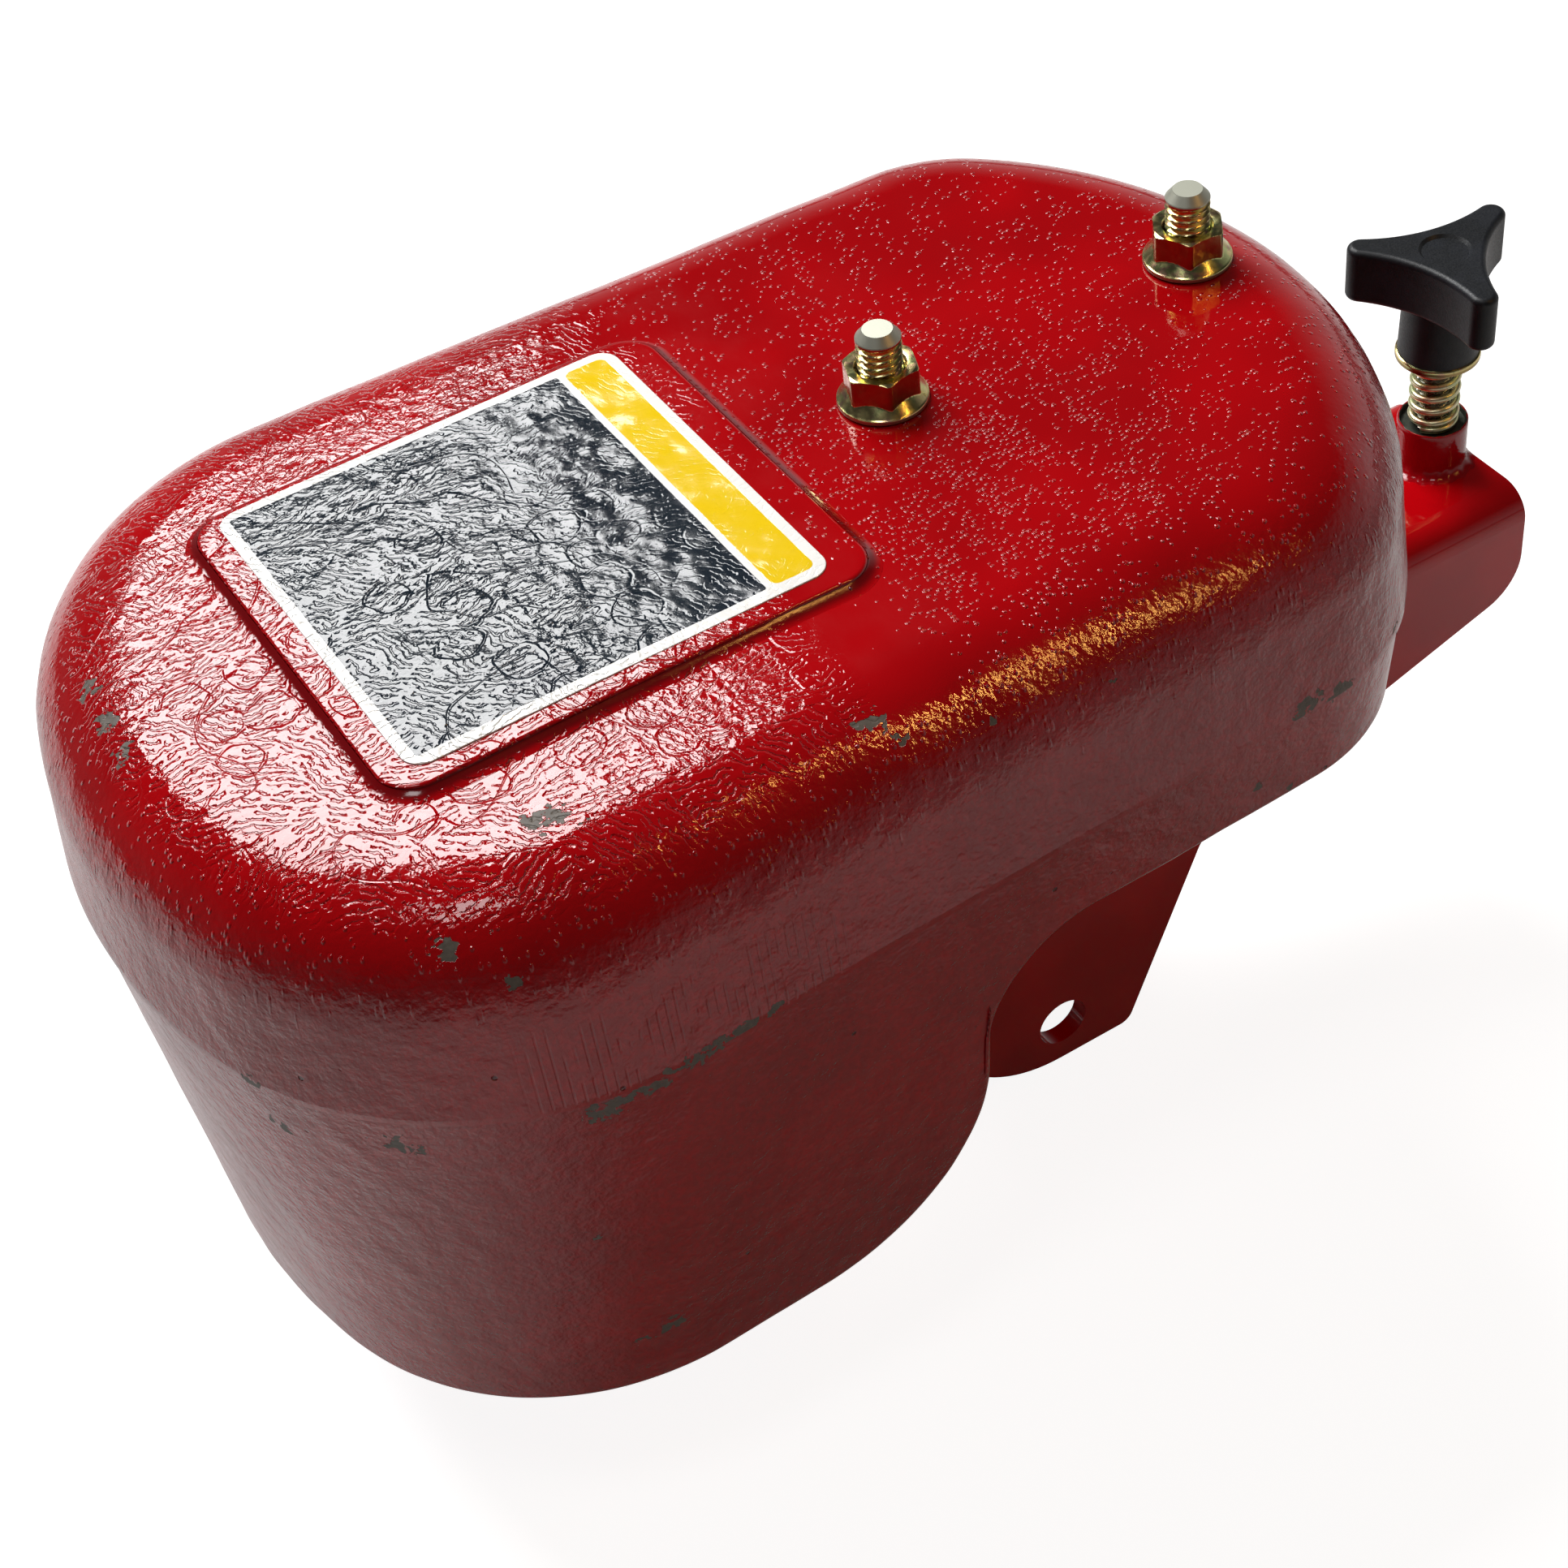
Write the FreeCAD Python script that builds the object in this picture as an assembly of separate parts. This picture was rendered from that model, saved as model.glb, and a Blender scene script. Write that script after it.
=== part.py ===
import FreeCAD, Part
import math
import os

# Cast-iron counterweight for the caster arm of a mower, on a folded saddle bracket with a clamping knob.
# Millimetres. +X runs along the weight towards the clamping knob, +Y across it and +Z up.
# The origin is the middle of the cross-pin axis, between the two legs of the bracket.

Vector = FreeCAD.Vector

# Rectangular tube that the bracket straddles
tube_width = 38.1
tube_side_clearance = 1.0
saddle_height = 91.3
pin_hole_diameter = 13.5

# Folded bracket, seen from the side
plate = 4.76
bend_inside_radius = 3.0
bracket_near_x = -35.0
bracket_far_x = 137.5
flange_end_z = 68.2
flange_end_radius = 13.0
leg_top_x = 42.5
leg_top_z = 39.0
leg_top_radius = 8.0
leg_foot_x = 19.6
leg_foot_drop = 12.7
leg_foot_radius = 4.0
leg_back_radius = 34.0

# Plan outline of the casting at its parting line
near_tip_x = -205.6
near_nose_radius = 133.8
near_corner_radius = 73.8
near_half_width = 92.9
far_tip_x = 86.9
far_nose_radius = 104.1
far_corner_radius = 45.5
far_half_width = 87.9

# Heights of the casting, measured down from its top face
parting_depth = 44.9
shallow_depth = 69.8
deep_depth = 148.0
top_edge_radius = 25.4
bottom_edge_radius = 2.5
parting_step = 0.7
upper_draft_degrees = 5.0
lower_draft_degrees = 5.0

# Step in the underside of the casting
step_wall_x = -57.0
step_inner_radius = 25.0
step_outer_radius = 44.0

# Raised pad for the decal, on the top face
pad_length = 105.0
pad_width = 95.0
pad_height = 2.0
pad_corner_radius = 8.0
pad_foot_radius = 1.2
pad_centre_x = -102.8
pad_centre_y = 2.0

# Seat for the bracket, cast under the shallow end
seat_height = 20.1
seat_width = 42.0
seat_near_x = -33.0
seat_far_x = 76.0
seat_corner_radius = 12.0
seat_flare = 3.0

# Bolts, nuts and their holes
bolt_diameter = 9.525
bolt_near_x = -21.0
bolt_spacing = 77.0
bolt_stand_out = 17.4
bolt_end_chamfer = 1.2
bolt_hole_clearance = 0.75
thread_clearance = 0.05
bolt_head_diameter = 21.4
bolt_head_height = 4.6
bolt_neck_side = 9.6
neck_clearance = 0.2
nut_across_flats = 14.29
nut_height = 8.8
nut_flange_diameter = 19.05
nut_flange_rim = 1.3
nut_cone_height = 2.2
nut_chamfer_degrees = 30.0

# Decal
decal_length = 91.0
decal_width = 89.0
decal_thickness = 0.25
decal_corner_radius = 4.5
decal_centre_x = -103.9
decal_centre_y = 3.6

# Clamping screw: boss, stud, spring, washer and knob
screw_to_web_end = 8.7
stud_diameter = 7.94
stud_tip_below_web = 1.0
stud_tip_chamfer = 1.0
stud_in_knob = 20.0
boss_diameter = 16.7
boss_height = 11.0
boss_weld_leg = 2.2
boss_rim_chamfer = 0.8
web_hole_clearance = 0.5
spring_outside_diameter = 12.1
spring_wire = 1.8
spring_length = 20.0
spring_pitch = 3.5
spring_seat_gap = 0.03
washer_diameter = 19.8
washer_thickness = 1.6
washer_hole_clearance = 0.4
hub_height = 13.4
hub_top_radius = 8.9
hub_bottom_radius = 9.4
knob_arm_count = 3
knob_arm_height = 14.0
knob_arm_reach = 22.0
knob_tip_radius = 3.3
knob_waist = 9.2
knob_first_arm_degrees = 16.0
knob_edge_radius = 1.4
knob_recess_diameter = 12.0
knob_recess_depth = 0.7

# Values that follow from the sizes above
inner_half_width = tube_width / 2 + tube_side_clearance
outer_half_width = inner_half_width + plate
bend_outside_radius = bend_inside_radius + plate
web_top = saddle_height + plate
shallow_z = web_top + seat_height
top_z = shallow_z + shallow_depth
parting_z = top_z - parting_depth
deep_z = top_z - deep_depth
boss_top = web_top + boss_height
washer_z = boss_top + spring_length
hub_z = washer_z + washer_thickness
knob_arm_z = hub_z + hub_height
knob_top = knob_arm_z + knob_arm_height
screw_x = bracket_far_x - screw_to_web_end
bolt_positions = {"near": bolt_near_x, "far": bolt_near_x + bolt_spacing}


def polygon_wire(corners, to_point):
    """Closed wire round flat corners (u, v, radius), each corner rounded by its own radius."""
    edges = []
    arcs = []
    for index, (u, v, radius) in enumerate(corners):
        here = Vector(u, v, 0)
        back = (Vector(*corners[index - 1][:2], 0) - here).normalize()
        onward = (Vector(*corners[(index + 1) % len(corners)][:2], 0) - here).normalize()
        half_angle = back.getAngle(onward) / 2
        reach = radius / math.tan(half_angle)
        middle = here + (back + onward).normalize() * (radius / math.sin(half_angle) - radius)
        arcs.append((here + back * reach, middle, here + onward * reach, radius))
    for index, (start, middle, end, radius) in enumerate(arcs):
        if radius > 0:
            edges.append(Part.Arc(to_point(start), to_point(middle), to_point(end)).toShape())
        following = arcs[(index + 1) % len(arcs)][0]
        edges.append(Part.LineSegment(to_point(end), to_point(following)).toShape())
    return Part.Wire(edges)


def side_prism(corners, half_width):
    """Solid with an outline in the X-Z plane, running from -half_width to half_width in Y."""
    wire = polygon_wire(corners, lambda p: Vector(p.x, -half_width, p.y))
    return Part.Face(wire).extrude(Vector(0, 2 * half_width, 0))


def rounded_block(centre_x, centre_y, z, length, width, height, radius, grow=0.0):
    """Upright block with rounded corners; its top outline is larger by grow on every side."""
    wires = []
    for level, extra in ((z, 0.0), (z + height, grow)):
        half_length = length / 2 + extra
        half_width = width / 2 + extra
        corners = [(centre_x + sign_x * half_length, centre_y + sign_y * half_width, radius + extra)
                   for sign_x, sign_y in ((-1, -1), (1, -1), (1, 1), (-1, 1))]
        wires.append(polygon_wire(corners, lambda p, level=level: Vector(p.x, p.y, level)))
    return Part.makeLoft(wires, True, True)


def upright_cylinder(x, z, radius, height):
    """Cylinder standing at (x, 0, z)."""
    return Part.makeCylinder(radius, height, Vector(x, 0, z))


def revolved(x, profile):
    """Solid turned from (radius, z) points about the upright axis at x."""
    points = [Vector(x + radius, 0, z) for radius, z in profile]
    face = Part.Face(Part.makePolygon(points + [points[0]]))
    return face.revolve(Vector(x, 0, 0), Vector(0, 0, 1), 360)


def edges_at_height(shape, z):
    """Edges of the shape that lie flat at height z."""
    return [edge for edge in shape.Edges
            if abs(edge.BoundBox.ZMin - z) < 1e-4 and abs(edge.BoundBox.ZMax - z) < 1e-4]


# Casting

def arc_about(centre, start, end, radius):
    """Arc about a centre from one radial direction to the next, the short way round."""
    middle = (start + end).normalize()
    return Part.Arc(centre + start * radius, centre + middle * radius, centre + end * radius).toShape()


def plan_end(tip_x, nose_radius, corner_radius, half_width, inward):
    """Centres of the nose arc and of the corner arc at +Y; inward is +1 at the near end, -1 at the far."""
    nose = Vector(tip_x + inward * nose_radius, 0, 0)
    corner_y = half_width - corner_radius
    offset = math.sqrt((nose_radius - corner_radius) ** 2 - corner_y ** 2)
    return nose, Vector(nose.x - inward * offset, corner_y, 0)


def plan_wire(inset, z):
    """Outline of the casting at height z: nose, corner and side arcs and lines, all moved in by inset."""
    near_nose, near_corner = plan_end(near_tip_x, near_nose_radius, near_corner_radius, near_half_width, 1)
    far_nose, far_corner = plan_end(far_tip_x, far_nose_radius, far_corner_radius, far_half_width, -1)
    span = far_corner - near_corner
    lean = math.asin((near_corner_radius - far_corner_radius) / span.Length) - math.atan2(span.y, span.x)
    side_normal = Vector(math.sin(lean), math.cos(lean), 0)
    near_turn = (near_corner - near_nose).normalize()
    far_turn = (far_corner - far_nose).normalize()
    lift = Vector(0, 0, z)

    def mirrored(vector):
        return Vector(vector.x, -vector.y, vector.z)

    def side(flip):
        near_centre, far_centre, normal = flip(near_corner) + lift, flip(far_corner) + lift, flip(side_normal)
        near_radius = near_corner_radius - inset
        far_radius = far_corner_radius - inset
        line = Part.LineSegment(near_centre + normal * near_radius, far_centre + normal * far_radius)
        return [arc_about(near_centre, flip(near_turn), normal, near_radius),
                line.toShape(),
                arc_about(far_centre, normal, flip(far_turn), far_radius)]

    upper = side(lambda vector: Vector(vector))
    lower = side(mirrored)
    near_cap = arc_about(near_nose + lift, near_turn, mirrored(near_turn), near_nose_radius - inset)
    far_cap = arc_about(far_nose + lift, far_turn, mirrored(far_turn), far_nose_radius - inset)
    return Part.Wire(Part.__sortEdges__(upper + [far_cap] + lower + [near_cap]))


def drafted_half(start_inset, start_z, end_z, draft_degrees):
    """Half of the casting between two heights, drawn in by its draft away from the parting line."""
    end_inset = start_inset + abs(end_z - start_z) * math.tan(math.radians(draft_degrees))
    return Part.makeLoft([plan_wire(start_inset, start_z), plan_wire(end_inset, end_z)], True, True)


def underside_cut():
    """Space under the shallow end: flat roof, hollow fillet, upright wall and rounded lower edge."""
    far_x = far_tip_x + step_outer_radius
    half_width = near_half_width + plate
    corners = [(step_wall_x, shallow_z, step_inner_radius),
               (far_x, shallow_z, 0.0),
               (far_x, deep_z - plate, 0.0),
               (step_wall_x, deep_z - plate, 0.0)]
    space = side_prism(corners, half_width)
    rounding = side_prism([(step_wall_x - step_outer_radius, deep_z, 0.0),
                           (step_wall_x, deep_z, 0.0),
                           (step_wall_x, deep_z + step_outer_radius, 0.0),
                           (step_wall_x - step_outer_radius, deep_z + step_outer_radius, 0.0)], half_width)
    drum = Part.makeCylinder(step_outer_radius, 2 * half_width,
                             Vector(step_wall_x - step_outer_radius, -half_width, deep_z + step_outer_radius),
                             Vector(0, 1, 0))
    return space.fuse(rounding.cut(drum))


def underside_rim(body):
    """Edges between the walls of the lower half, which all reach the parting line, and its underside."""
    underside = [face for face in body.Faces if face.BoundBox.ZMax < parting_z - parting_step]
    rim = []
    for face in underside:
        others = [edge for other in underside if not other.isSame(face) for edge in other.Edges]
        rim += [edge for edge in face.Edges if not any(edge.isSame(other) for other in others)]
    return rim


def weight_casting():
    """Iron casting: two drafted halves, stepped underside, bracket seat, decal pad and bolt holes."""
    upper = drafted_half(0.0, parting_z, top_z, upper_draft_degrees)
    upper = upper.makeFillet(top_edge_radius, edges_at_height(upper, top_z))
    lower = drafted_half(parting_step, parting_z, deep_z, lower_draft_degrees)
    lower = lower.cut(underside_cut()).removeSplitter()
    lower = lower.makeFillet(bottom_edge_radius, underside_rim(lower))
    seat = rounded_block((seat_near_x + seat_far_x) / 2, 0, web_top, seat_far_x - seat_near_x, seat_width,
                         seat_height + pad_height, seat_corner_radius, seat_flare)
    pad = rounded_block(pad_centre_x, pad_centre_y, top_z - pad_height, pad_length, pad_width,
                        2 * pad_height, pad_corner_radius)
    body = upper.fuse([lower, seat, pad]).removeSplitter()
    foot_area = FreeCAD.BoundBox(pad_centre_x, pad_centre_y, top_z, pad_centre_x, pad_centre_y, top_z)
    foot_area.enlarge(max(pad_length, pad_width) / 2 + pad_foot_radius)
    foot = [edge for edge in edges_at_height(body, top_z) if foot_area.isInside(edge.BoundBox)]
    body = body.makeFillet(pad_foot_radius, foot)
    body = body.makeFillet(pad_foot_radius, edges_at_height(body, top_z + pad_height))
    hole_radius = bolt_diameter / 2 + bolt_hole_clearance
    for x in bolt_positions.values():
        body = body.cut(upright_cylinder(x, web_top - 1, hole_radius, top_z - web_top + 2))
    return body


# Bracket

def channel(half_width, roof_z, bend_radius):
    """Solid filled channel as long as the bracket, with both top edges bent to a radius."""
    floor_z = -leg_foot_drop - plate
    corners = [(-half_width, floor_z, 0.0), (half_width, floor_z, 0.0),
               (half_width, roof_z, bend_radius), (-half_width, roof_z, bend_radius)]
    wire = polygon_wire(corners, lambda p: Vector(bracket_near_x, p.x, p.y))
    return Part.Face(wire).extrude(Vector(bracket_far_x - bracket_near_x, 0, 0))


def mounting_bracket():
    """Folded sheet saddle: web, two flanges that run down into legs, pin holes and bolt holes."""
    sheet = channel(outer_half_width, web_top, bend_outside_radius)
    sheet = sheet.cut(channel(inner_half_width, saddle_height, bend_inside_radius))
    outline = [(bracket_near_x, web_top + plate, 0.0),
               (bracket_near_x, -leg_foot_drop, leg_back_radius),
               (leg_foot_x, -leg_foot_drop, leg_foot_radius),
               (leg_top_x, leg_top_z, leg_top_radius),
               (bracket_far_x, flange_end_z, flange_end_radius),
               (bracket_far_x, web_top + plate, 0.0)]
    sheet = sheet.common(side_prism(outline, outer_half_width + plate))
    pin_axis = Vector(0, -outer_half_width - 1, 0)
    sheet = sheet.cut(Part.makeCylinder(pin_hole_diameter / 2, 2 * outer_half_width + 2, pin_axis, Vector(0, 1, 0)))
    hole_side = bolt_neck_side + 2 * neck_clearance
    for x in bolt_positions.values():
        corner = Vector(x - hole_side / 2, -hole_side / 2, saddle_height - 1)
        sheet = sheet.cut(Part.makeBox(hole_side, hole_side, plate + 2, corner))
    stud_hole = stud_diameter / 2 + web_hole_clearance
    return sheet.cut(upright_cylinder(screw_x, saddle_height - 1, stud_hole, plate + 2))


# Fasteners

def carriage_bolt(x):
    """Round-head bolt: domed head under the web, square neck in it, shank up through the casting."""
    shank_radius = bolt_diameter / 2
    end_z = top_z + bolt_stand_out
    head_radius = bolt_head_diameter / 2
    dome_radius = (head_radius ** 2 + bolt_head_height ** 2) / (2 * bolt_head_height)
    dome = Part.makeSphere(dome_radius, Vector(x, 0, saddle_height - bolt_head_height + dome_radius))
    head = dome.common(upright_cylinder(x, saddle_height - bolt_head_height, head_radius, bolt_head_height))
    shank = revolved(x, [(0, saddle_height - 1), (shank_radius, saddle_height - 1),
                         (shank_radius, end_z - bolt_end_chamfer),
                         (shank_radius - bolt_end_chamfer, end_z), (0, end_z)])
    neck = Part.makeBox(bolt_neck_side, bolt_neck_side, plate,
                        Vector(x - bolt_neck_side / 2, -bolt_neck_side / 2, saddle_height))
    return head.fuse([neck, shank]).removeSplitter()


def flange_nut(x):
    """Hex nut with a round flange: rim, cone and hexagon with its top corners turned away."""
    corner_radius = nut_across_flats / 2 / math.cos(math.radians(30))
    flat_drop = (corner_radius - nut_across_flats / 2) * math.tan(math.radians(nut_chamfer_degrees))
    hexagon = [Vector(x + corner_radius * math.cos(math.radians(60 * k)),
                      corner_radius * math.sin(math.radians(60 * k)), top_z) for k in range(7)]
    prism = Part.Face(Part.makePolygon(hexagon)).extrude(Vector(0, 0, nut_height))
    turned = revolved(x, [(0, top_z), (corner_radius, top_z), (corner_radius, top_z + nut_height - flat_drop),
                          (nut_across_flats / 2, top_z + nut_height), (0, top_z + nut_height)])
    rim_radius = nut_flange_diameter / 2
    flange = revolved(x, [(0, top_z), (rim_radius, top_z), (rim_radius, top_z + nut_flange_rim),
                          (nut_across_flats / 2, top_z + nut_flange_rim + nut_cone_height),
                          (0, top_z + nut_flange_rim + nut_cone_height)])
    bore = upright_cylinder(x, top_z - 1, bolt_diameter / 2 + thread_clearance, nut_height + 2)
    return prism.common(turned).fuse(flange).removeSplitter().cut(bore)


def decal():
    """Self-adhesive sheet with rounded corners, on the raised pad."""
    return rounded_block(decal_centre_x, decal_centre_y, top_z + pad_height, decal_length, decal_width,
                         decal_thickness, decal_corner_radius)


# Clamping screw

def threaded_boss():
    """Round nut standing on the web, with its weld bead cut off flush with the web's far end."""
    radius = boss_diameter / 2
    body = revolved(screw_x, [(0, web_top), (radius + boss_weld_leg, web_top), (radius, web_top + boss_weld_leg),
                              (radius, boss_top - boss_rim_chamfer), (radius - boss_rim_chamfer, boss_top),
                              (0, boss_top)])
    reach = radius + boss_weld_leg + 1
    beyond = Part.makeBox(reach, 2 * reach, boss_height + 2, Vector(bracket_far_x, -reach, web_top - 1))
    bore = upright_cylinder(screw_x, web_top - 1, stud_diameter / 2 + thread_clearance, boss_height + 2)
    return body.cut(beyond).cut(bore)


def knob_stud():
    """Stud moulded into the knob, with a chamfered tip just under the web."""
    radius = stud_diameter / 2
    low = saddle_height - stud_tip_below_web
    high = hub_z + stud_in_knob
    return revolved(screw_x, [(0, low), (radius - stud_tip_chamfer, low), (radius, low + stud_tip_chamfer),
                              (radius, high), (0, high)])


def knob_washer():
    """Flat washer under the hub."""
    ring = upright_cylinder(screw_x, washer_z, washer_diameter / 2, washer_thickness)
    hole = upright_cylinder(screw_x, washer_z - 1, stud_diameter / 2 + washer_hole_clearance, washer_thickness + 2)
    return ring.cut(hole)


def compression_spring():
    """Coil spring between the boss and the washer."""
    coil_radius = (spring_outside_diameter - spring_wire) / 2
    low = boss_top + spring_wire / 2 + spring_seat_gap
    helix = Part.makeHelix(spring_pitch, spring_length - spring_wire - 2 * spring_seat_gap, coil_radius)
    helix.translate(Vector(screw_x, 0, low))
    start = Vector(screw_x + coil_radius, 0, low)
    heading = Vector(0, 2 * math.pi * coil_radius, spring_pitch)
    section = Part.Wire(Part.makeCircle(spring_wire / 2, start, heading))
    return Part.Wire(helix).makePipeShell([section], True, True)


def knob_plan(z):
    """Outline of the arms: round tips joined by hollow sides that touch them."""
    step = 2 * math.pi / knob_arm_count
    tip_distance = knob_arm_reach - knob_tip_radius
    along = knob_waist - tip_distance * math.cos(step / 2)
    across = tip_distance * math.sin(step / 2)
    side_radius = (along ** 2 + across ** 2 - knob_tip_radius ** 2) / (2 * (knob_tip_radius - along))
    centre = Vector(screw_x, 0, z)
    edges = []
    for arm in range(knob_arm_count):
        angle = math.radians(knob_first_arm_degrees) + arm * step
        outward = Vector(math.cos(angle), math.sin(angle), 0)
        tip = centre + outward * tip_distance
        joins = []
        for bisector in (angle - step / 2, angle + step / 2):
            direction = Vector(math.cos(bisector), math.sin(bisector), 0)
            hollow = centre + direction * (knob_waist + side_radius)
            joins.append(tip + (hollow - tip).normalize() * knob_tip_radius)
        edges.append(Part.Arc(joins[0], tip + outward * knob_tip_radius, joins[1]).toShape())
        middle = centre + direction * knob_waist
        following = angle + step
        next_outward = Vector(math.cos(following), math.sin(following), 0)
        next_tip = centre + next_outward * tip_distance
        next_join = next_tip + (hollow - next_tip).normalize() * knob_tip_radius
        edges.append(Part.Arc(joins[1], middle, next_join).toShape())
    return Part.Wire(edges)


def clamp_knob():
    """Moulded knob: arms with rounded edges, shallow round recess on top, hub below and stud bore."""
    arms = Part.Face(knob_plan(knob_arm_z)).extrude(Vector(0, 0, knob_arm_height))
    rims = edges_at_height(arms, knob_arm_z) + edges_at_height(arms, knob_top)
    arms = arms.makeFillet(knob_edge_radius, rims)
    hub = Part.makeCone(hub_bottom_radius, hub_top_radius, hub_height + knob_edge_radius, Vector(screw_x, 0, hub_z))
    recess_radius = knob_recess_diameter / 2
    recess = Part.makeCone(recess_radius - knob_recess_depth, recess_radius, knob_recess_depth,
                           Vector(screw_x, 0, knob_top - knob_recess_depth))
    bore = upright_cylinder(screw_x, hub_z, stud_diameter / 2, stud_in_knob)
    return arms.fuse(hub).removeSplitter().cut(recess).cut(bore)


def build_nodes():
    """Every piece of the weight by its node's name."""
    nodes = {
        "weight_casting": weight_casting(),
        "mounting_bracket": mounting_bracket(),
        "threaded_boss": threaded_boss(),
        "decal": decal(),
        "knob_stud": knob_stud(),
        "knob_washer": knob_washer(),
        "compression_spring": compression_spring(),
        "clamp_knob": clamp_knob(),
    }
    for place, x in bolt_positions.items():
        nodes[f"bolt_{place}"] = carriage_bolt(x)
        nodes[f"flange_nut_{place}"] = flange_nut(x)
    return nodes


os.makedirs("parts", exist_ok=True)
for name, shape in build_nodes().items():
    shape.exportStep(f"parts/{name}.step")
    print(f"{name}: valid {shape.isValid()}, solids {len(shape.Solids)}, volume {shape.Volume:.1f} mm3")
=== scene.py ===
"""Looks of a caster-arm counterweight: an enamelled iron casting on a folded saddle bracket.

Sizes are in millimetres and become metres when a mesh is made. +X runs along the weight
towards the clamping knob, +Y across it and +Z up, from the middle of the cross-pin axis.
"""
import logging
import math
from dataclasses import dataclass
from enum import Enum
from typing import Any, Sequence

import bmesh
import bpy
import numpy as np
from mathutils import Matrix


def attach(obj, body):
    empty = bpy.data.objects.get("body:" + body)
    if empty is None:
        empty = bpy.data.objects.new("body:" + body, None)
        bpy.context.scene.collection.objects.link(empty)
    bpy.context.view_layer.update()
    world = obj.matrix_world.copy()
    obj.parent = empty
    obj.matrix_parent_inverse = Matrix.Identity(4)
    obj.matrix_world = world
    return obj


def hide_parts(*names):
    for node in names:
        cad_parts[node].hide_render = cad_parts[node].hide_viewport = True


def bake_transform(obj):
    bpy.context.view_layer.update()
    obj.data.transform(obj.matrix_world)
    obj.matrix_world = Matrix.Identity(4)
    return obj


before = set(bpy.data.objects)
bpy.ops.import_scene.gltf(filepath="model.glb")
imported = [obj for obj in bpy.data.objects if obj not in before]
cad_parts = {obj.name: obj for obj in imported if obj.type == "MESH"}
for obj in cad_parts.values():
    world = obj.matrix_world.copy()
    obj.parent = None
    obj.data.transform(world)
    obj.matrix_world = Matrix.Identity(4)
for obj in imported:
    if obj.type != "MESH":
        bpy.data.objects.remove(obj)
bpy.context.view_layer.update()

LOG = logging.getLogger("counterweight")
METRES = 0.001
Array = np.ndarray

# Heights shared by several pieces
TOP_Z = 185.96
PARTING_Z = 141.06
SHALLOW_Z = 116.16
DEEP_Z = 37.96
WEB_TOP = 96.06
WEB_END_X = 137.5
SADDLE_Z = 91.3
SCREW_X = 128.8
BOSS_TOP = 107.06
WASHER_Z = 127.06
HUB_Z = 128.66
NEAR_BOLT_X = -21.0
FAR_BOLT_X = 56.0
LOWEST_Z = -12.7


class Body(Enum):
    """Moving bodies of the part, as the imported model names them."""

    WEIGHT = "weight"
    WASHER = "washer"
    KNOB = "knob"


class Slot(Enum):
    """Material slots of the record."""

    CASTING = "casting_enamel"
    BRACKET = "bracket_enamel"
    DECAL = "decal_vinyl"
    ZINC = "yellow_zinc"
    STUD = "stud_steel"
    KNOB = "knob_plastic"


# Numbers and surfaces

def lattice_noise(points: Array, cell: float, seed: int) -> Array:
    """Smooth noise: random values at the corners of a cubic lattice, eased between by 3t^2 - 2t^3.

    Args:
        points: Places in millimetres, one a row.
        cell: Side of a lattice cube in millimetres.
        seed: Picks the set of random values.

    Returns:
        One value from -1 to 1 for each place.
    """
    scaled = points / cell
    base = np.floor(scaled).astype(np.int64)
    part = scaled - base
    part = part * part * (3 - 2 * part)
    total = np.zeros(len(points))
    for corner in np.ndindex(2, 2, 2):
        mixed = ((base + corner) * (73856093, 19349663, 83492791)).sum(1) + seed * 6542989
        mixed = ((mixed ^ (mixed >> 13)) * 1274126177) & 0xFFFFFFFF
        mixed = ((mixed ^ (mixed >> 15)) * 668265263) & 0xFFFFFFFF
        value = ((mixed ^ (mixed >> 16)) & 0xFFFF) / 32767.5 - 1
        total += np.prod(np.where(corner, part, 1 - part), axis=1) * value
    return total


def eased(value: Array, low: float, high: float) -> Array:
    """Ramp that rises smoothly from 0 at low to 1 at high."""
    part = np.clip((value - low) / (high - low), 0, 1)
    return part * part * (3 - 2 * part)


def grid_faces(rows: int, columns: int, closed: bool) -> Array:
    """Quads of a grid of points stored row by row.

    Args:
        rows: Number of rows.
        columns: Number of points in a row.
        closed: Whether the last column joins the first.

    Returns:
        Four point numbers for each quad.
    """
    row = np.arange(rows - 1)[:, None] * columns
    column = np.arange(columns if closed else columns - 1)[None, :]
    after = (column + 1) % columns
    quads = np.stack([row + column, row + after, row + columns + after, row + columns + column], -1)
    return quads.reshape(-1, 4)


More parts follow.
